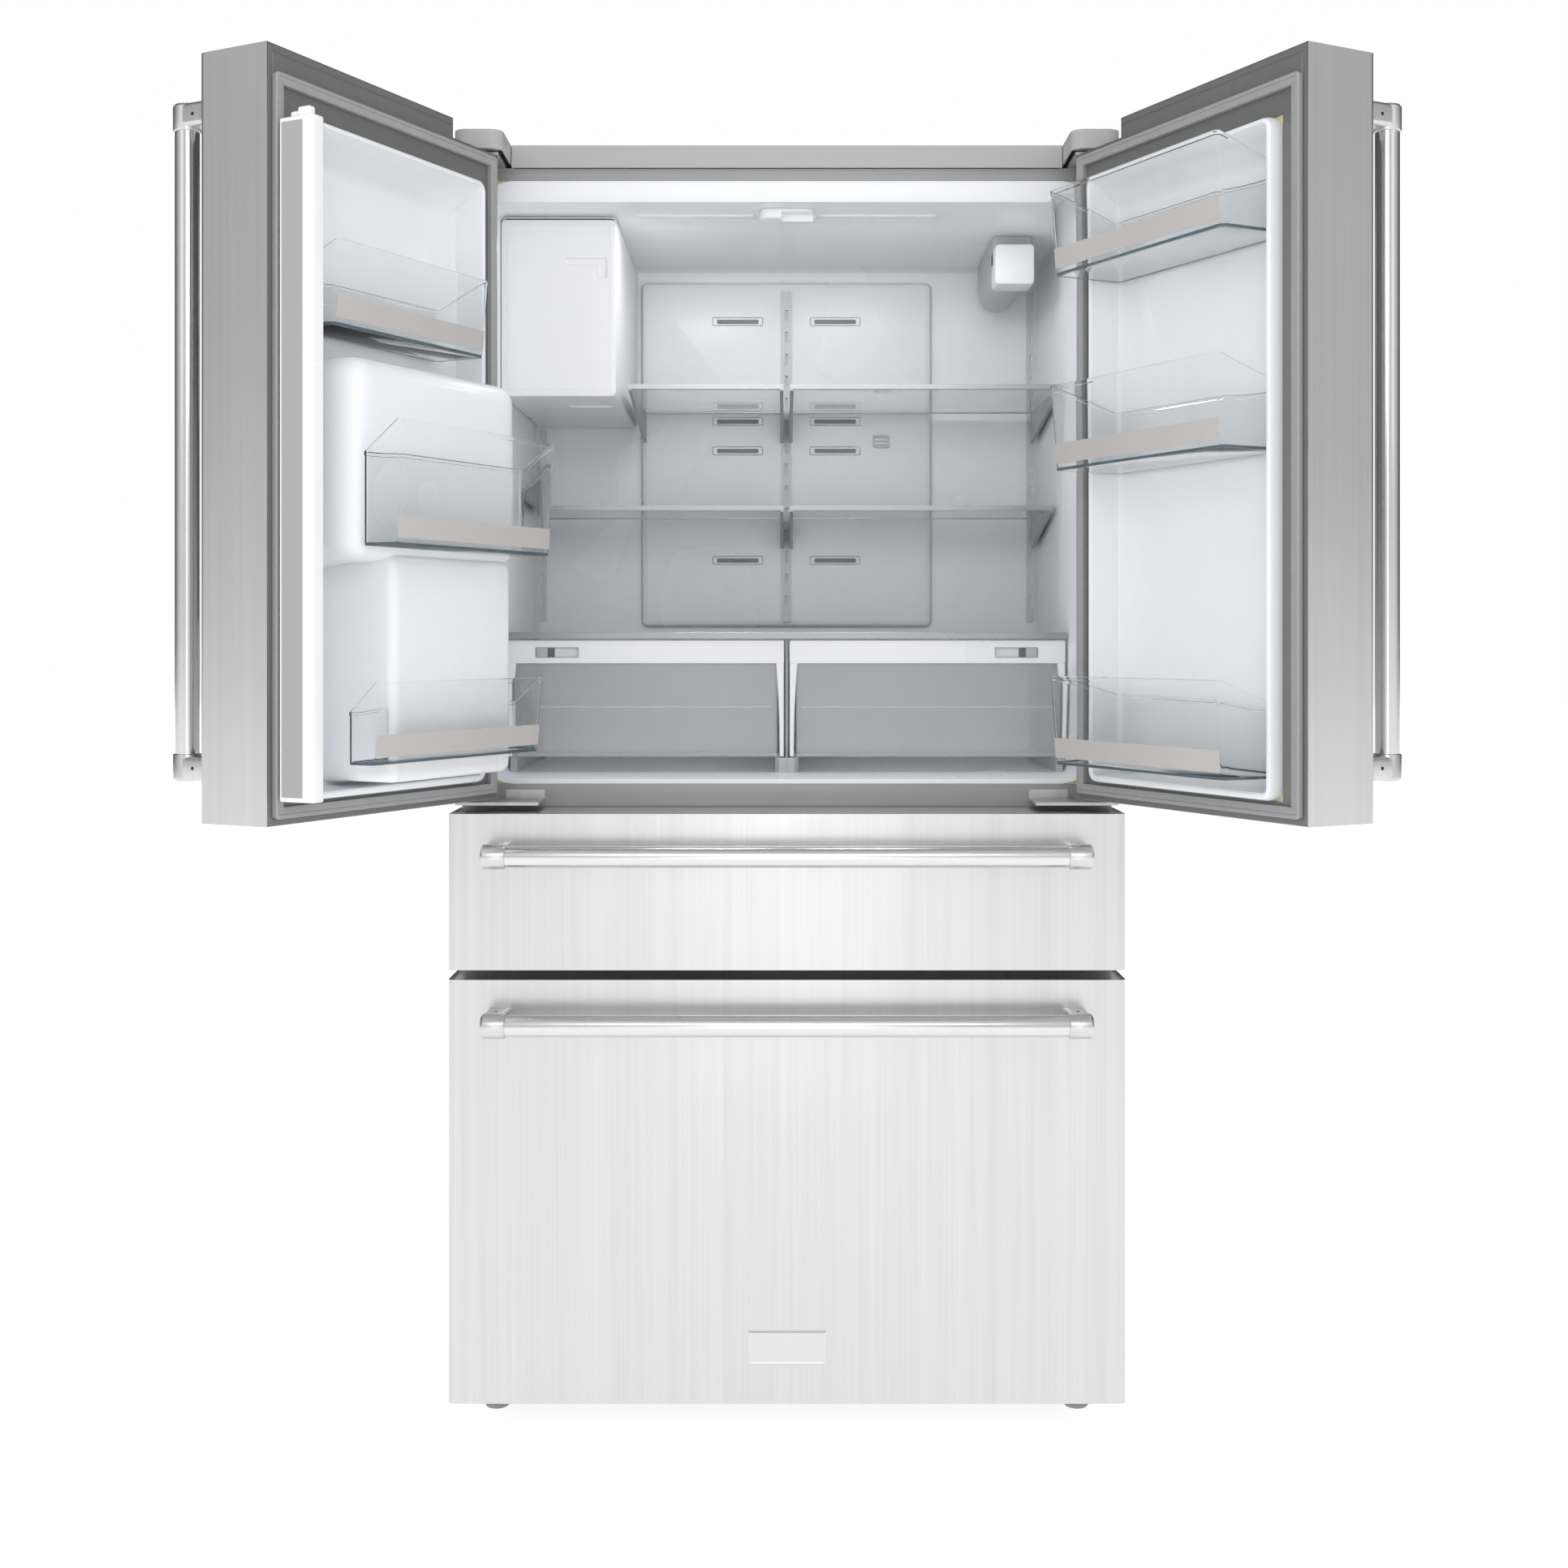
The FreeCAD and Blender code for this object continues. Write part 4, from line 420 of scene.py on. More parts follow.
LABEL_DARK = finish("dark_label", (0.29, 0.30, 0.33), 0.015, (0.3, 0.38), (200, 200, 200), 1.0)
TRIM = finish("shelf_trim", (0.66, 0.67, 0.69), 0.02, (0.25, 0.34), (3, 400, 400), 1.0, 0.05, Metallic=0.7)
LENS = finish("lamp_lens", (0.95, 0.96, 0.98), 0.01, (0.3, 0.36), (250, 250, 250), 1.0, 0.05)
TRACK = finish("track_plastic", (0.83, 0.84, 0.86), 0.008, (0.28, 0.36), (260, 260, 260), 0.8, 0.03)
BLACK = finish("black_plastic", 0.12, 0.02, (0.35, 0.5), (300, 300, 300), 1.0, 0.1)
PANEL_GLASS = finish("control_glass", 0.07, 0.01, (0.05, 0.1), (60, 60, 60), 1.0, Coat_Weight=0.6)
ENAMEL = finish("compressor_enamel", 0.1, 0.02, (0.3, 0.45), (120, 120, 120), 1.0, 0.1, dust=0.2)
COIL = finish("condenser_paint", 0.17, 0.03, (0.45, 0.6), (200, 200, 200), 1.2, 0.08, dust=0.35)
GALVANISED = finish("galvanised_sheet", 0.7, 0.06, (0.32, 0.5), (45, 45, 45), 2.0, 0.05, Metallic=0.85)
CHASSIS = finish("chassis_paint", 0.26, 0.02, (0.45, 0.6), (300, 300, 300), 1.0, 0.1, dust=0.2)
RUBBER = finish("roller_rubber", 0.16, 0.02, (0.6, 0.75), (300, 300, 300), 1.0, 0.12)
FOAM = finish("insulation_foam", (0.85, 0.8, 0.62), 0.05, (0.8, 0.9), (120, 120, 120), 1.4, 0.4, 0.0006)
FOOT_GREY = finish("foot_plastic", 0.55, 0.03, (0.4, 0.55), (300, 300, 300), 1.0, 0.1)
print(len(FINISHES), "finishes")

# %% [markdown]
# ## Parts whose plain shape is right
#
# Pressed steel fronts, the folded wrapper, slides, baskets and the machine parts are already the
# right shape. Each keeps its mesh and takes one of the finishes.

# %% Dress the parts that stay
DRESSED = {
    STEEL: ["left_door_skin", "right_door_skin", "upper_drawer_front", "lower_drawer_front"],
    PAINT: ["cabinet_shell"],
    FACE_GREY: ["face_frame"],
    COVER: ["top_cover", "hinge_covers"],
    ZINC: ["door_hinges", "slide_rails", "upper_drawer_slide_links", "lower_drawer_slide_links"],
    WHITE: ["freezer_liners", "ice_bin", "upper_drawer_basket", "lower_drawer_basket"],
    TRACK: ["shelf_tracks"],
    GASKET: ["upper_drawer_core", "lower_drawer_core"],
    FOAM: ["cabinet_foam", "left_door_foam", "right_door_foam"],
    GLASS: ["shelf_glass"],
    TRIM: ["shelf_frames"],
    FROSTED: ["crisper_frame"],
    GALVANISED: ["rear_panels"],
    CHASSIS: ["chassis"],
    RUBBER: ["rear_rollers"],
    ENAMEL: ["compressor"],
    COIL: ["condenser"],
    BLACK: ["condenser_fan", "dispenser_paddle", "dispenser_recess"],
    BRIGHT_WHITE: ["water_valve"],
}
for material, names in DRESSED.items():
    for node_name in names:
        NODES[node_name].data.materials.clear()
        NODES[node_name].data.materials.append(material)
print(sum(len(names) for names in DRESSED.values()), "CAD parts dressed")

# %% [markdown]
# ## Door liners and seals
#
# A door liner is one sheet of plastic drawn over a mould: a raised rim that enters the cabinet,
# and inside it a sunk panel that carries the bins. A profile from the back of the sheet over the
# rim and down to the panel, carried round the door, gives all of it, with a longer slope at the
# top. The seal is a hollow vinyl section, so its profile has a step, two ribs and a magnet bulge.

# %% Door liners
DYKE_WIDTH = 10
PANEL_SLOPE = np.array([2, 2, 4, 30])


def door_liner(side):
    """Sheet with its raised rim and sunk panel, and the steel frame round it; a slope of
    w + s * PANEL_SLOPE, for s from 0 to 1, leads from the rim of width w down to the panel."""
    name = DOOR[side]
    rim_low, rim_high = door_limits(side, f"{name}_liner")
    inset_hinge, inset_free = 48, 43
    span = (inset_hinge, DOOR_WIDTH - inset_free, 26, DOOR_HEIGHT - 74)
    back, crest = DOOR_DEPTH, rim_high[1] if side == RIGHT else DOOR_DEPTH + 18
    floor = rim_low[1] + 2
    profile = [(2, floor - 1.5), (1, back - 4), (0, back), (0.6, crest - 7), (2.2, crest - 2),
               (5, crest - 0.2), (DYKE_WIDTH - 2.5, crest - 0.2), (DYKE_WIDTH - 0.4, crest - 2.2),
               (DYKE_WIDTH + 0.25 * PANEL_SLOPE, back - 2), (DYKE_WIDTH + 0.8 * PANEL_SLOPE, floor + 5),
               (DYKE_WIDTH + PANEL_SLOPE + 4, floor + 0.4), (DYKE_WIDTH + PANEL_SLOPE + 8, floor)]
    piece(f"{name}_liner_moulding", [moulding(span, profile, 16, "xzy")], WHITE, name, place=on_door(side))
    edge = (1.2, DOOR_WIDTH - 1.2, 1.2, DOOR_HEIGHT - 1.2)
    reach = np.array([inset_hinge, inset_free, 26, 74]) - 2.0
    frame_profile = [(0, back - 2), (0, back + 0.1), (7, back + 0.1), (7.8, back - 0.8), (8.8, back - 0.8),
                     (9.6, back + 0.1), (reach, back + 0.1), (reach, back - 2)]
    piece(f"{name}_back_frame", [surround(edge, frame_profile, 2, "xzy")], DOOR_BACK, name,
          (f"{name}_liner",), place=on_door(side), carve=[hinge_notch(side)])


def hinge_notch(side):
    """The corner that a door leaves free for its hinge plate."""
    low, high = (-5, 12, DOOR_HEIGHT - 28), (102, DOOR_DEPTH + 30, DOOR_HEIGHT + 5)
    return soft_block(low, high, 0.3)


def door_seal(side):
    """Seal section as (inset, depth) points: foot, bellows fold, magnet bulge."""
    name = DOOR[side]
    low, high = door_limits(side, f"{name}_gasket")
    span = (low[0], high[0], low[2], high[2])
    y, top = low[1], high[1]
    section = [(1, y + 0.2), (1.6, y + 1.6), (0.6, y + 2.8), (0, y + 4.2), (0.2, top - 1), (1.4, top),
               (4.6, top), (5.4, top - 0.9), (6.2, top), (11.6, top - 0.3), (13.4, top - 1.4),
               (13.8, y + 3.4), (12.6, y + 2.2), (13.2, y + 0.2)]
    piece(f"{name}_seal", [surround(span, section, 5, "xzy")], GASKET, name, (f"{name}_gasket",),
          place=on_door(side))


for side in DOOR:
    door_liner(side)
    door_seal(side)
print("liners and seals", len(MADE))

# %% [markdown]
# ## Door bins
#
# Each bin is a clear moulding a couple of millimetres thick. Its front leans out, its rim is
# a thicker lip that catches the light, and its back wall is lower than its front. A grey strip
# lies along the front, and a darker foot closes the bottom edge.

# %% Door bins
BIN_WALL = 2.4
BIN_CORNER = 7
BACK_DROP = 36
STRIP = (9, 35)


def bin_outline(low, high, inset, lean):
    """Plan outline of a bin at one level; lean moves the front wall back."""
    return rectangle((low[0], high[0], low[1], high[1] - lean), inset, BIN_CORNER)


def door_bin(side, name, low, high, node, lean=10.0):
    """Outer wall up, lip over, inner wall down; rim height falls towards the back by a smooth step."""
    body = DOOR[side]
    height = high[2] - low[2]
    levels = [(3.5, 0.0), (0.8, 1.2), (0.0, 4.0), (0.0, height - 6), (-1.0, height - 5), (-1.0, height - 0.6),
              (-0.2, height), (BIN_WALL - 0.4, height), (BIN_WALL, height - 0.8), (BIN_WALL, 5.5),
              (BIN_WALL + 1.2, BIN_WALL + 0.6), (BIN_WALL + 4, BIN_WALL)]
    outlines = [bin_outline(low, high, inset + 1.0, lean * (1 - level / height)) for inset, level in levels]
    sections = stack(outlines, [low[2] + level for _, level in levels], "xyz")
    forward = np.clip((sections[..., 1] - low[1]) / (high[1] - low[1] - 12), 0, 1)
    drop = BACK_DROP * (1 - forward ** 2 * (3 - 2 * forward))
    rising = np.clip((sections[..., 2] - low[2]) / height, 0, 1)
    sections[..., 2] -= drop * rising
    piece(name, [(sections, False)], BIN, body, (node,), place=on_door(side))
    foot_span = (low[0] + 1, high[0] - 1, low[1] + 1, high[1] - lean - 0.6)
    foot = [(0.0, low[2] + 0.2), (-0.5, low[2] + 1.4), (-0.5, low[2] + 3.6), (1.4, low[2] + 3.6),
            (1.4, low[2] + 0.2)]
    lofts = [surround(foot_span, foot, BIN_CORNER, "xyz")]
    piece(f"{name}_foot", lofts, TEAL, body, place=on_door(side))
    fronts = [high[1] - lean * (1 - level / height) - 0.9 for level in STRIP]
    outlines = [rectangle((low[0] + 4, high[0] - 4, front, front + 0.8), 0, 0.3) for front in fronts]
    strip = stack(outlines, [low[2] + level for level in STRIP], "xyz")
    piece(f"{name}_strip", [(strip, False)], LABEL, body, place=on_door(side))


for bin_name in ("left_top_bin", "left_middle_bin", "left_bottom_bin"):
    low, high = door_limits(LEFT, bin_name)
    door_bin(LEFT, f"{bin_name}_moulding", low, high, bin_name)

# %% Bins of the right door, one for each run of levels
low, high = door_limits(RIGHT, "right_door_bins")
points = np.array([vertex.co for vertex in NODES["right_door_bins"].data.vertices])[:, 2] / MM - DOOR_FOOT
levels = np.unique(points.round(1))
TALLEST_BIN = 130
breaks = np.flatnonzero(np.diff(levels) > TALLEST_BIN)
starts = levels[np.concatenate([[0], breaks + 1])]
ends = levels[np.concatenate([breaks, [len(levels) - 1]])]
for number, (start, end) in enumerate(zip(starts, ends)):
    bin_low = np.array([low[0], low[1], start])
    bin_high = np.array([high[0], high[1], end])
    door_bin(RIGHT, f"right_bin_{number + 1}_moulding", bin_low, bin_high, "right_door_bins")
print("right bins", len(starts))

# %% [markdown]
# ## Handles
#
# Each handle is a steel tube held by a cast end post. A post is a fat collar round the tube, and
# a neck that widens to a rounded foot on the front. The tube and the collar are circles carried
# along the handle's own axis, and the neck is a rounded rectangle that changes with depth.

# %% Tube, collar, post and set screw
COLLAR_EXTRA = 2.2
FOOT_FLARE = 6.0
POST_LENGTH = 33.0


def handle(name, body, low, high, axes, place=None):
    """The long way is the third letter of axes, and the way out from the front is the second."""
    order = ["xyz".index(letter) for letter in axes]
    low, high = low[order], high[order]
    length = POST_LENGTH
    radius = (high[0] - low[0]) / 2 - COLLAR_EXTRA
    outward = low[1] + radius + COLLAR_EXTRA
    centre = ((low[0] + high[0]) / 2, outward)
    tube = lathe(centre, [(radius, low[2] + 12), (radius, high[2] - 12)], axes, 64)
    piece(f"{name}_tube", [tube], SATIN_BAR, body, (name,), place=place)
    collars, necks, screws = [], [], []
    for end, inward in ((low[2], 1), (high[2], -1)):
        ring = radius + COLLAR_EXTRA - 0.1
        steps = [(ring - 5, 0.2), (ring - 2, 1.2), (ring, 4), (ring, length - 2), (ring - 0.6, length - 0.6),
                 (ring - 1.6, length), (radius + 0.1, length)]
        collars.append(lathe(centre, [(r, end + inward * along) for r, along in steps], axes, 64))
        foot = []
        for share in np.linspace(0, 1, 9):
            flare = FOOT_FLARE * (1 - min(1.0, 3 * share)) ** 2
            along0, along1 = sorted((end + inward * 1.5, end + inward * (length - 3 + flare)))
            span = (centre[0] - ring + 1.5, centre[0] + ring - 1.5, along0, along1)
            foot.append(rectangle(span, 0, 6))
        depths = high[1] - np.linspace(0, 1, 9) * (high[1] - outward)
        necks.append(stack(foot, depths, axes[0] + axes[2] + axes[1]))
        screws.append(end + inward * length / 2)
    piece(f"{name}_posts", collars + [(neck, False) for neck in necks], STEEL, body, place=place)
    side_face = centre[0] + (radius + COLLAR_EXTRA) - 1.9
    cap = [(2.2, side_face - 0.6), (2.2, side_face + 0.5)]
    caps = [lathe((outward + radius + 8, along), cap, axes[1] + axes[2] + axes[0], 20) for along in screws]
    piece(f"{name}_set_screws", caps, BLACK, body, place=place)


for drawer in ("upper_drawer", "lower_drawer"):
    low, high = limits(f"{drawer}_handle")
    handle(f"{drawer}_handle", drawer, low, high, "zyx")
for side, name in DOOR.items():
    low, high = door_limits(side, f"{name}_handle")
    handle(f"{name}_handle", name, low, high, "xyz", on_door(side))
print("handles", len(MADE))

# %% [markdown]
# ## The folding centre post
#
# A narrow post hangs on the left door and closes the gap between the doors. It is a white
# plastic channel with a steel strip on the face that both seals touch, and a nose on top that
# runs in the guide under the cabinet roof.

# %% Centre post
low, high = door_limits(LEFT, "mullion")
nose = 11.0
post_top = high[2] - nose
post = soft_block(low, (high[0] - 0.6, high[1], post_top), 2.0, 3.0)
nose_block = soft_block((low[0] + 5, high[1] - 26, post_top - 2),
                        (low[0] + 16, high[1] - 8, high[2]), 2.0, 3.0)
nose_cam = soft_block((low[0] + 3, high[1] - 40, post_top - 2),
                      (low[0] + 12, high[1] - 22, high[2] - 3), 2.0, 3.0)
piece("mullion_post", [post, nose_block, nose_cam], BRIGHT_WHITE, "mullion", ("mullion",),
      place=on_door(LEFT))
strip_span = (low[1] + 4, low[1] + 35, low[2] + 5, post_top - 5)
strip = moulding(strip_span, [(0, high[0] - 2), (0, high[0] - 0.7), (0.6, high[0] - 0.05)], 1.2, "yzx")
piece("mullion_steel_strip", [strip], PAINT, "mullion", place=on_door(LEFT))

# %% [markdown]
# ## Dispenser
#
# The left door has an ice and water outlet. Outside there is a black recess with a touch panel,
# a nozzle, a paddle and a drip tray with a slotted grille. Inside, a white hump covers the works
# and takes the middle bin.

# %% Inner hump and outer details
HUMP_ROUND = 12
housing = door_points(LEFT, "dispenser_housing")
low, high = housing.min(0), housing.max(0)
deepest = housing[housing[:, 1] > high[1] - 1]
hump_span = (low[0], high[0], deepest[:, 2].min() - HUMP_ROUND, high[2])
depth = high[1]
hump = [(-6, low[1] - 2), (-4, low[1] + 14), (0, low[1] + 40), (0.5, depth - 34), (2, depth - 20),
        (6, depth - 9), (13, depth - 2.5), (24, depth - 0.2), (40, depth)]
below = housing[housing[:, 2] < low[2] + 1]
foot_span = (below[:, 0].min(), below[:, 0].max(), low[2], hump_span[2] + 10)
foot_depth = below[:, 1].max() + HUMP_ROUND
t = np.linspace(0, np.pi / 2, ARC_STEPS + 1)
foot_hump = [(-3, low[1] - 2), (0, low[1] + 30)]
foot_hump += list(zip(HUMP_ROUND * (1 - np.cos(t)), foot_depth - HUMP_ROUND * (1 - np.sin(t))))
humps = [moulding(hump_span, hump, 26, "xzy"), moulding(foot_span, foot_hump, 14, "xzy")]
piece("dispenser_hump", humps, WHITE, "left_door", ("dispenser_housing",),
      place=on_door(LEFT))
low, high = door_limits(LEFT, "dispenser_recess")
middle, top = (low[0] + high[0]) / 2, high[2]
panel = soft_block((low[0] + 16, low[1] + 0.2, top - 104),
                   (high[0] - 16, low[1] + 3.4, top - 16), 0.8, 4, "xzy")
rim = [(0, 0.2), (0.4, -1.6), (2, -2.6), (11, -2.6), (13.4, -1), (13.6, 4), (13, 6), (1, 0.4)]
bezel = surround((low[0], high[0], low[2], high[2]), rim, 6, "xzy")
piece("dispenser_touch_panel", [panel], PANEL_GLASS, "left_door",
      place=on_door(LEFT))
piece("dispenser_bezel", [bezel], STEEL, "left_door", place=on_door(LEFT))
KEY_PITCH = 34
button = [(7.5, low[1] + 0.15), (7.5, low[1] + 0.3), (6.6, low[1] + 0.3)]
keys = [lathe((middle + step * KEY_PITCH, top - 62), button, "xzy", 28) for step in (-1.5, -0.5, 0.5, 1.5)]
piece("dispenser_keys", keys, LABEL, "left_door", place=on_door(LEFT))
slats = [soft_block((middle - 82 + 11 * step, 8, low[2] + 26.0),
                    (middle - 76 + 11 * step, 54, low[2] + 28.4), 0.6) for step in range(15)]
piece("dispenser_drip_slats", slats, SLAT_GREY_AND_SLOT_SHADE, "left_door",
      place=on_door(LEFT))
print("door fittings", len(MADE))

# %% [markdown]
# ## Fridge space
#
# The fridge space is one deep tub with a rolled lip, drawn slightly narrower towards the back so
# that it leaves its mould. Its back wall carries the air duct cover with slotted outlets, each in
# a thin raised ring. Each slot is a flat grey plate: painted shade where the opening would be.

# %% Tub, duct cover and outlets
low, high = limits("fridge_liner")
SIDE_LIP, TOP_LIP, FOOT_LIP, SHEET = 14, 30, 7, 2
mouth = (low[0] + SIDE_LIP, high[0] - SIDE_LIP, low[2] + FOOT_LIP, high[2] - TOP_LIP)
lip = -np.array([SIDE_LIP, SIDE_LIP, FOOT_LIP, TOP_LIP]) * 1.0
front, back = low[1], high[1] - SHEET
tub = [(-SHEET, high[1]), (-SHEET, front + SHEET), (lip, front + SHEET), (lip, front + 0.6),
       (lip + 0.6, front), (-2.5, front), (-0.6, front + 0.8), (0, front + 3), (0.8, back - 22),
       (2.2, back - 12), (6, back - 4), (12, back - 0.6), (16, back)]
piece("fridge_tub", [moulding(mouth, tub, 10, "xzy")], WHITE, "cabinet", ("fridge_liner",))
low, high = limits("air_duct_cover")
cover = [(0, high[1] + 1), (0, high[1] - 1), (5, low[1] + 2), (9, low[1] + 0.4), (14, low[1])]
piece("air_duct_panel", [moulding((low[0], high[0], low[2], high[2]), cover, 12, "xzy")], WHITE, "cabinet",
      ("air_duct_cover",))
ROOF, DUCT_FRONT = mouth[3], low[1]
OUTLET_DROPS, OUTLET_NEAR, OUTLET_FAR = (88, 252, 300, 480), 38, 122
rings, slot_shades = [], []
for drop in OUTLET_DROPS:
    for side in (LEFT, RIGHT):
        a0, a1 = sorted((side * OUTLET_NEAR, side * OUTLET_FAR))
        z = ROOF - drop
        span = (a0, a1, z - 7.5, z + 7.5)
        rings.append(surround(span, [(0, DUCT_FRONT + 0.5), (0.2, DUCT_FRONT - 0.9), (0.9, DUCT_FRONT - 1.3),
                                     (1.7, DUCT_FRONT - 0.9), (2.2, DUCT_FRONT + 0.5)], 3, "xzy"))
        # Each slot is a thin grey plate in front of the panel: painted shade standing in for the opening.
        slot_shades.append(moulding((a0 + 8, a1 - 8, z - 4, z + 3), [(0, DUCT_FRONT + 0.5), (0, DUCT_FRONT - 0.35),
                                                              (0.6, DUCT_FRONT - 0.5)], 1.5, "xzy"))
piece("air_outlet_rings", rings, FROSTED, "cabinet")
piece("air_outlet_slot_shades", slot_shades, SLAT_GREY_AND_SLOT_SHADE, "cabinet")
SENSOR_SPAN = (142, 170, 1398, 1420)
sensor = [surround(SENSOR_SPAN, [(0, DUCT_FRONT + 0.4), (0.4, DUCT_FRONT - 2.4), (2, DUCT_FRONT - 2.4),
                                            (2.4, DUCT_FRONT + 0.4)], 4, "xzy")]
sensor += [soft_block((143, DUCT_FRONT - 2, 1402 + 6 * row), (169, DUCT_FRONT + 0.4, 1404.5 + 6 * row), 0.6)
           for row in range(3)]
piece("air_sensor_grille", sensor, FROSTED, "cabinet")

# %% Roof lamps and the post's guide
low, high = limits("roof_fittings")
roof = high[2]
lamp_front = high[1] - 16
LAMP_NEAR, LAMP_FAR = 46, 216
frames, lenses = [], []
for side in (LEFT, RIGHT):
    a0, a1 = sorted((side * LAMP_NEAR, side * LAMP_FAR))
    span = (a0, a1, lamp_front - 6, high[1] + 6)
    frames.append(surround(span, [(0, roof + 0.2), (0.2, roof - 2.0), (1, roof - 2.6), (3, roof - 2.6),
                                  (3.6, roof + 0.2)], 4, "xyz"))
    lenses.append(moulding(span, [(3.4, roof + 0.2), (3.4, roof - 1.6), (5, roof - 2.4), (8, roof - 2.6)],
                           4, "xyz"))
piece("lamp_frames", frames, BRIGHT_WHITE, "cabinet", ("roof_fittings",))
piece("lamp_lenses", lenses, LENS, "cabinet")
guide = soft_block((-38, low[1], low[2]), (38, low[1] + 34, roof), 3, 12)
groove = soft_block((-8, low[1] - 6, low[2] - 6), (46, low[1] + 22, low[2] + 9), 1, 6)
piece("mullion_guide", [guide], BRIGHT_WHITE, "cabinet", carve=[groove])

# %% [markdown]
# ## Ice maker box
#
# The ice maker hangs in the top left corner: a thin-walled box open at the front, a cover with a
# fine outline groove and a sunk finger pull, and a shallow pocket underneath where ice drops.

# %% Ice box and cover
low, high = limits("ice_box")
WALL = 3
box_span = (low[0], high[0], low[2], high[2])
inner = [(0, high[1]), (0, low[1] + 1), (0.8, low[1]), (WALL - 0.8, low[1]), (WALL, low[1] + 1),
         (WALL, high[1] - 14), (WALL + 2, high[1] - 12)]
pocket = soft_block((high[0] - 78, low[1] + 40, low[2] - 4), (high[0] - 16, low[1] + 120, low[2] + 2), 1, 6)
piece("ice_box_shell", [moulding(box_span, inner, 7, "xzy")], BRIGHT_WHITE, "cabinet", ("ice_box",),
      carve=[pocket])
low, high = limits("ice_box_cover")
face = [(0, high[1]), (0, low[1] + 2), (0.6, low[1] + 0.6), (2, low[1]), (8.0, low[1]), (8.3, low[1] + 0.9),
        (9.1, low[1] + 0.9), (9.4, low[1]), (14, low[1])]
pull_top = high[2] - 55
pull = [soft_block((high[0] - 74, low[1] - 3, pull_top - 12),
                   (high[0] - 12, low[1] + 4.5, pull_top), 1.5, 4, "xzy"),
        soft_block((high[0] - 26, low[1] - 3, pull_top - 30),
                   (high[0] - 12, low[1] + 4.5, pull_top - 2), 1.5, 4, "xzy")]
piece("ice_box_door", [moulding((low[0], high[0], low[2], high[2]), face, 7, "xzy")], BRIGHT_WHITE,
      "ice_box_cover", ("ice_box_cover",), carve=pull)

# %% Water filter
low, high = limits("water_filter")
middle = (low[0] + high[0]) / 2
head = soft_block((low[0], low[1] + 34, low[2] + 34), (high[0], high[1], high[2]), 3, 6)
barrel = lathe((middle, low[2] + 32), [(10, low[1] + 30), (27, low[1] + 34), (29, low[1] + 44),
                                       (29, high[1] - 6), (25, high[1])], "xzy", 40)
piece("filter_housing", [head, barrel], FROSTED, "cabinet", ("water_filter",))
cartridge = [soft_block((low[0], low[1], low[2]), (high[0] - 2, low[1] + 60, low[2] + 60), 3, 6, "xzy")]
piece("filter_cartridge", cartridge, BRIGHT_WHITE, "cabinet")
print("fridge space", len(MADE))

# %% [markdown]
# ## Crispers
#
# Each crisper is a clear drawer under a white front band. The band holds a sliding vent knob in
# a small window, with a dark label beside it. White side cheeks show where the clear tub leans
# in from its runners, and a steel-faced trim edges the cover above.

# %% Crisper drawers
BAND = 34
WINDOW_NEAR, WINDOW_FAR = 40, 104


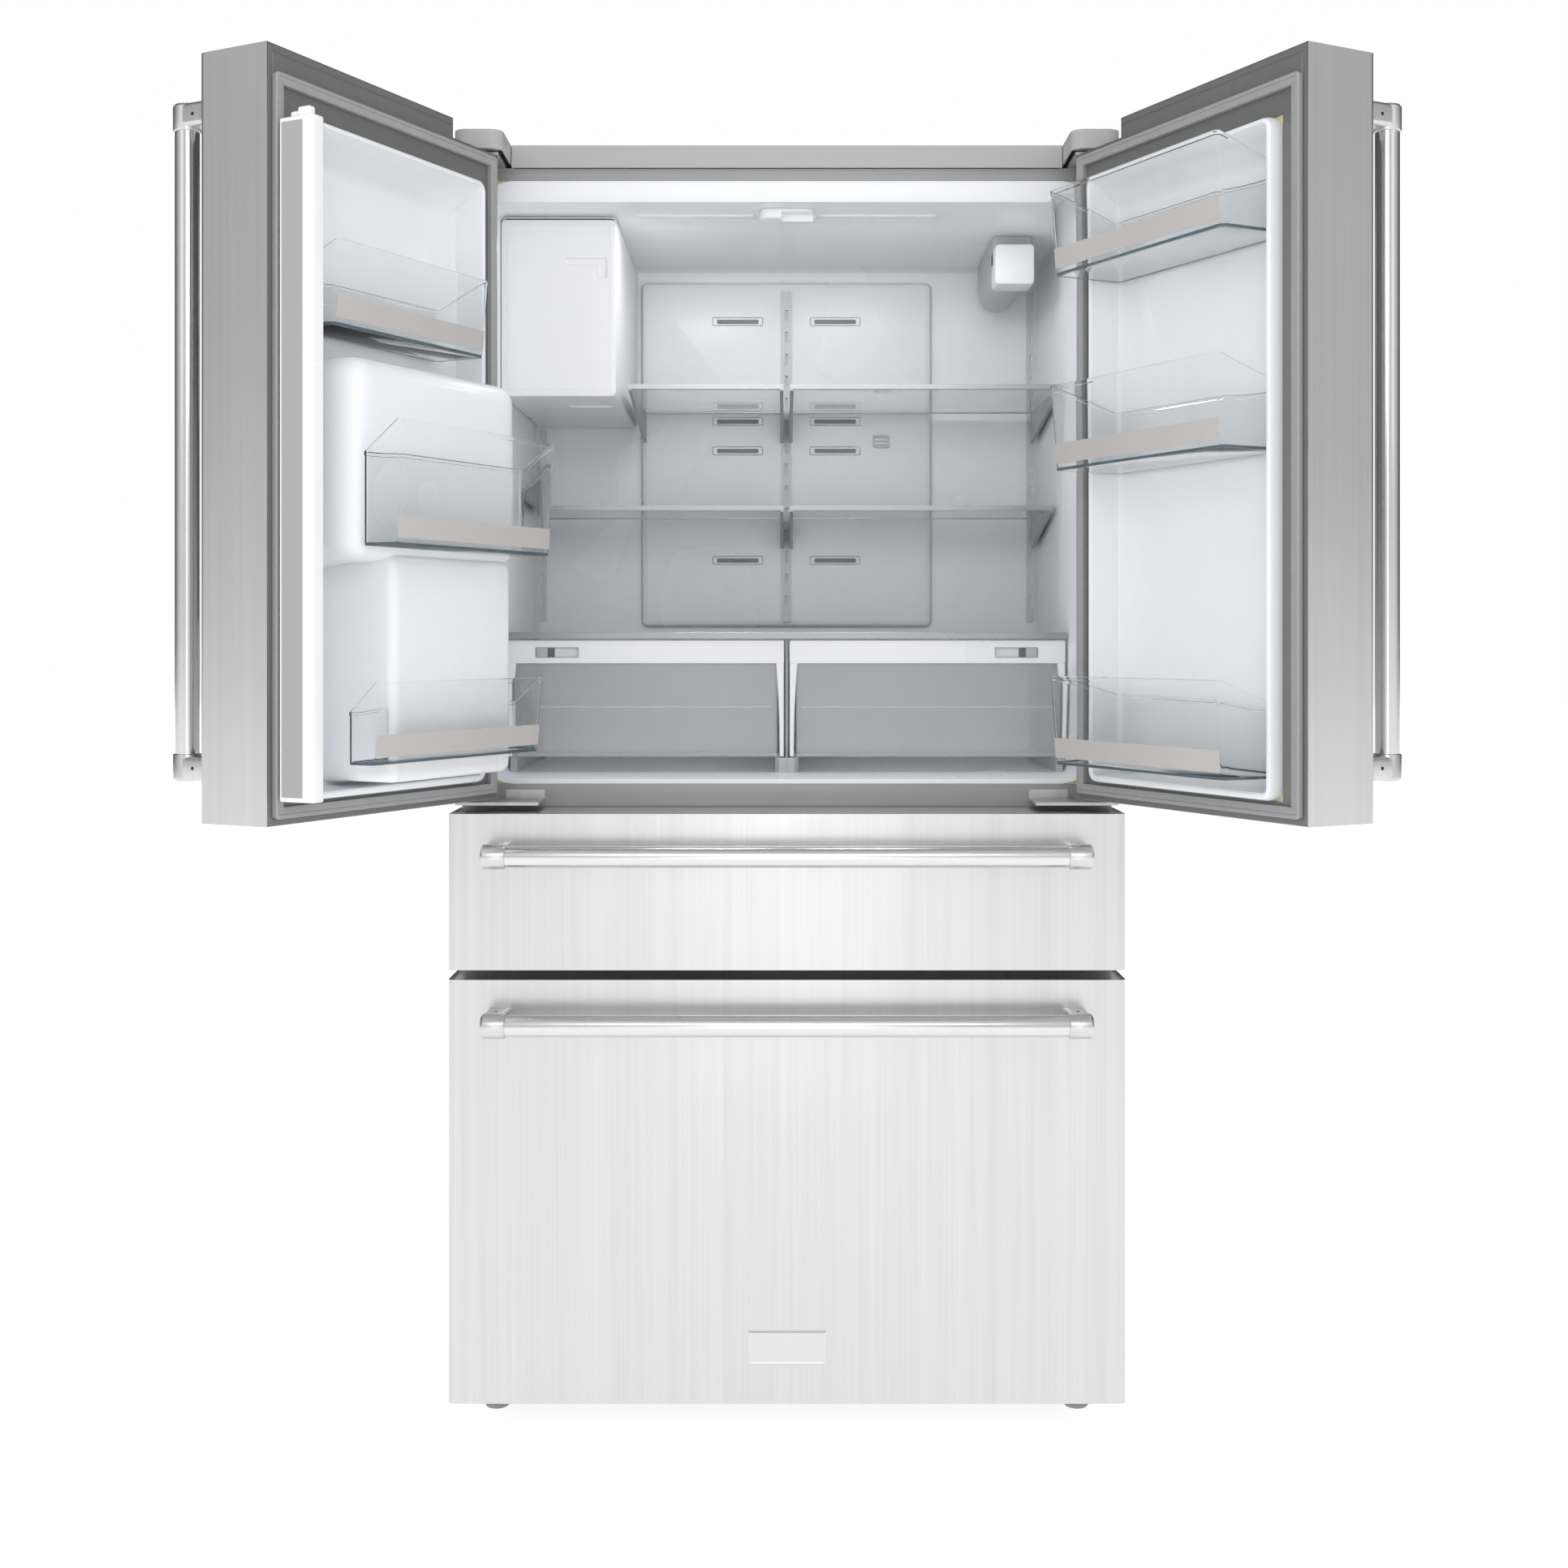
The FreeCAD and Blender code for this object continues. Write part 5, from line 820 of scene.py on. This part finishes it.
def crisper(side, name):
    """A clear drawer on one side with its band, window, cheeks, pane and vent knob. A cheek's reach
    widens upwards as 6.5 + 5.5 s ** 2.2, for s from 0 at the foot to 1 under the band."""
    low, high = limits(name)
    near, far = (low[0], high[0]) if side == RIGHT else (high[0], low[0])
    lean = 8 * side
    tub_span = sorted((near + lean, far - lean))
    span = (tub_span[0], tub_span[1], low[1] + 3, high[1])
    top = high[2] - 2
    tub = [(7, low[2] + 0.2), (3, low[2] + 1.4), (1, low[2] + 6), (0, top), (2.4, top), (3.2, low[2] + 7),
           (5.5, low[2] + 3.6), (9, low[2] + 2.6)]
    piece(f"{name}_tub", [moulding(span, tub, 8, "xyz")], CRISPER, name, (name,))
    band = moulding((low[0], high[0], high[2] - BAND, high[2]),
                    [(0.6, low[1] + 12), (0, low[1] + 11), (0, low[1] + 1.6), (0.5, low[1] + 0.5),
                     (1.8, low[1])], 2.5, "xzy")
    window = tuple(sorted((side * (abs(far) - WINDOW_FAR), side * (abs(far) - WINDOW_NEAR))))
    z0, z1 = high[2] - 26, high[2] - 10
    cut = soft_block((window[0], low[1] - 2, z0), (window[1], low[1] + 5, z1), 0.6, 2, "xzy")
    piece(f"{name}_band", [band], BRIGHT_WHITE, name, carve=[cut])
    ring = surround((*window, z0, z1), [(-0.2, low[1] + 0.4), (0.2, low[1] - 0.7), (1.2, low[1] - 0.7),
                                        (1.4, low[1] + 4)], 2, "xzy")
    piece(f"{name}_window_ring", [ring], FROSTED, name)
    half = (window[1] - window[0]) * 0.44
    plate = (window[0] + 1.5, window[0] + half) if side == LEFT else (window[1] - half, window[1] - 1.5)
    label = soft_block((plate[0], low[1] + 4.2, z0 + 1.5), (plate[1], low[1] + 4.9, z1 - 1.5), 0.2, 1, "xzy")
    cheeks = []
    for edge, inward in ((near, side), (far, -side)):
        outlines = []
        heights = np.linspace(low[2] + 1, high[2] - BAND + 0.5, 10)
        for share in np.linspace(0, 1, 10):
            reach = 6.5 + 5.5 * share ** 2.2
            a0, a1 = sorted((edge + inward * 0.4, edge + inward * reach))
            outlines.append(rectangle((a0, a1, low[1] + 1.5, low[1] + 12), 0, 1.5))
        cheeks.append((stack(outlines, heights, "xyz"), False))
    piece(f"{name}_cheeks", cheeks, BRIGHT_WHITE, name)
    pane = moulding((tub_span[0] + 2, tub_span[1] - 2, low[2] + 1, high[2] - BAND + 0.5),
                    [(0, low[1] + 4.5), (0, low[1] + 2.2), (0.6, low[1] + 1.6)], 4, "xzy")
    rail = soft_block((tub_span[0] + 10, low[1] + 4.5, low[2] + 72),
                      (tub_span[1] - 10, low[1] + 7.5, low[2] + 75), 0.8)
    sill = soft_block((tub_span[0] - 3, low[1] + 1.2, low[2] + 0.4),
                      (tub_span[1] + 3, low[1] + 6, low[2] + 5), 1.0)
    piece(f"{name}_pane", [pane, rail, sill], CRISPER, name)
    piece(f"{name}_label", [label], LABEL_DARK, name)
    knob_low, knob_high = limits(name.replace("crisper", "humidity_slide"))
    knob = [soft_block(knob_low, knob_high, 0.8, 1.5, "xzy")]
    knob += [soft_block((knob_low[0] + 4 + 4 * rib, knob_low[1] - 0.6, knob_low[2] + 2),
                        (knob_low[0] + 5.5 + 4 * rib, knob_low[1] + 1, knob_high[2] - 2), 0.3)
             for rib in range(3)]
    slide = name.replace("crisper", "humidity_slide")
    piece(f"{slide}_knob", knob, FROSTED, slide, (slide,))


crisper(LEFT, "left_crisper")
crisper(RIGHT, "right_crisper")
low, high = limits("crisper_frame")
bar = moulding((low[0], high[0], high[2] - 10, high[2]),
               [(0.6, low[1] + 0.6), (0, low[1] + 0.2), (0.8, low[1] - 0.6)], 1, "xzy")
piece("crisper_trim", [bar], TRIM, "cabinet")
print("crispers", len(MADE))

# %% [markdown]
# ## Small metal parts
#
# The badge is a plain bevelled plate. The feet are ridged discs that a hand can turn. The back
# has sheet metal screws down both of its side edges.

# %% Badge, feet and screws
low, high = limits("badge")
plate = [(0, high[1]), (0, low[1] + 1.2), (1.5, low[1]), (2.4, low[1] + 0.1), (5.4, low[1] + 1.0),
         (6.0, low[1] + 0.9), (7.5, low[1] + 0.8)]
piece("badge_plate", [moulding((low[0], high[0], low[2], high[2]), plate, 0.8, "xzy")], CHROME,
      "lower_drawer", ("badge",))
low, high = limits("levelling_feet")
RADIUS = 19.5
feet = []
for side in (LEFT, RIGHT):
    centre = (side * (high[0] - RADIUS), (low[1] + high[1]) / 2)
    disc = [(12, 0), (15.5, 0.4), (17, 3), (17.8, 7), (18.6, 10), (18.6, 17), (17.5, 19), (15, 20), (6, 20),
            (6, high[2])]
    feet.append(lathe(centre, disc, "xyz", 96, 0.035, 24))
piece("foot_discs", feet, FOOT_GREY, "cabinet", ("levelling_feet",))
low, high = limits("rear_panels")
screws = []
for side in (LEFT, RIGHT):
    for z in np.linspace(low[2] + 18, high[2] - 14, 9):
        screws.append(lathe((side * (high[0] - 9), z),
                            [(4.4, high[1] - 3.0), (4.4, high[1] - 1.2), (3.2, high[1] - 0.4),
                             (1.2, high[1] - 0.2)], "xzy", 16))
piece("rear_screws", screws, ZINC, "cabinet")
print("small parts", len(MADE), "faces", sum(len(made.data.polygons) for made in MADE))

# %% [markdown]
# ## Stage, light and camera
#
# The appliance stands on a plain pale floor in a white studio. Broad soft boxes light it from the
# front and above. Steel shows what is around it, so mirror-like rays see a studio that is bright
# in front and dim behind, as if dark screens stood at the back, while the eye sees plain white.

# %% Floor
floor_mesh = bpy.data.meshes.new("floor")
FLOOR_REACH = 30.0
corner = np.array([(-1, -1, 0), (1, -1, 0), (1, 1, 0), (-1, 1, 0)]) * FLOOR_REACH
floor_mesh.from_pydata(corner.tolist(), [], [(0, 1, 2, 3)])
floor = bpy.data.objects.new("floor", floor_mesh)
bpy.context.scene.collection.objects.link(floor)
floor_mesh.materials.append(finish("pale_floor", 0.62, 0.004, (0.9, 1.0), (2, 2, 2), 1.0,
                                   Specular_IOR_Level=0.0, Emission_Color=(1, 1, 1, 1),
                                   Emission_Strength=0.85))

# %% World and lights
scene = bpy.context.scene
scene.view_settings.view_transform = "Standard"
world = bpy.data.worlds.new("studio")
scene.world = world
world.use_nodes = True
tree = world.node_tree
tree.nodes.clear()
direction = add(tree, "ShaderNodeTexCoord")
parts = add(tree, "ShaderNodeSeparateXYZ", [(0, direction.outputs["Generated"])])
backward = add(tree, "ShaderNodeMapRange", [("Value", parts.outputs[1]), ("From Min", -0.6),
                                            ("From Max", 0.5), ("To Min", 0.68), ("To Max", 0.06)])
mirrored = add(tree, "ShaderNodeBackground", [("Color", (1, 1, 1, 1)), ("Strength", backward.outputs[0])])
plain = add(tree, "ShaderNodeBackground", [("Color", (1, 1, 1, 1)), ("Strength", 1.0)])
soft = add(tree, "ShaderNodeBackground", [("Color", (1, 1, 1, 1)), ("Strength", 0.86)])
ray = add(tree, "ShaderNodeLightPath")
lit = add(tree, "ShaderNodeMixShader", [(0, ray.outputs["Is Diffuse Ray"]), (1, plain.outputs[0]),
                                        (2, soft.outputs[0])])
choose = add(tree, "ShaderNodeMixShader", [(0, ray.outputs["Is Glossy Ray"]), (1, lit.outputs[0]),
                                           (2, mirrored.outputs[0])])
add(tree, "ShaderNodeOutputWorld", [(0, choose.outputs[0])])


def soft_box(name, place, aim, size, power):
    """An area light at a place, turned to a point, size (across, up) in metres, power in watts."""
    light = bpy.data.lights.new(name, "AREA")
    light.shape, light.size, light.size_y, light.energy = "RECTANGLE", size[0], size[1], power
    lamp = bpy.data.objects.new(name, light)
    scene.collection.objects.link(lamp)
    lamp.location = place
    lamp.rotation_euler = (Vector(aim) - Vector(place)).to_track_quat("-Z", "Y").to_euler()
    return lamp


soft_box("front_strip", (0, -3.6, 1.0), (0, 0, 0.9), (0.45, 2.6), 4.6)
soft_box("left_box", (-2.6, -3.2, 2.4), (0, 0, 1.0), (1.6, 1.6), 3)
soft_box("right_box", (2.6, -3.2, 2.4), (0, 0, 1.0), (1.6, 1.6), 3)
soft_box("inside_fill", (0, -2.2, 1.9), (0, 0.3, 1.25), (1.0, 0.5), 4)
for side in (LEFT, RIGHT):
    soft_box("roof_lamp", (side * 0.131, 0.03, 1.685), (side * 0.131, 0.12, 1.2), (0.16, 0.014), 0.35)

# %% Camera
CAMERA_BACK, CAMERA_LEVEL, CAMERA_SIDE = 2.503, 1.077, -0.004
camera = bpy.data.cameras.new("camera")
camera.lens, camera.sensor_width, camera.shift_y = 42.95, 36.0, -0.0895
eye = bpy.data.objects.new("camera", camera)
scene.collection.objects.link(eye)
eye.location = (CAMERA_SIDE, FRONT * MM - CAMERA_BACK, CAMERA_LEVEL)
eye.rotation_euler = (math.radians(90), 0, 0)
scene.camera = eye
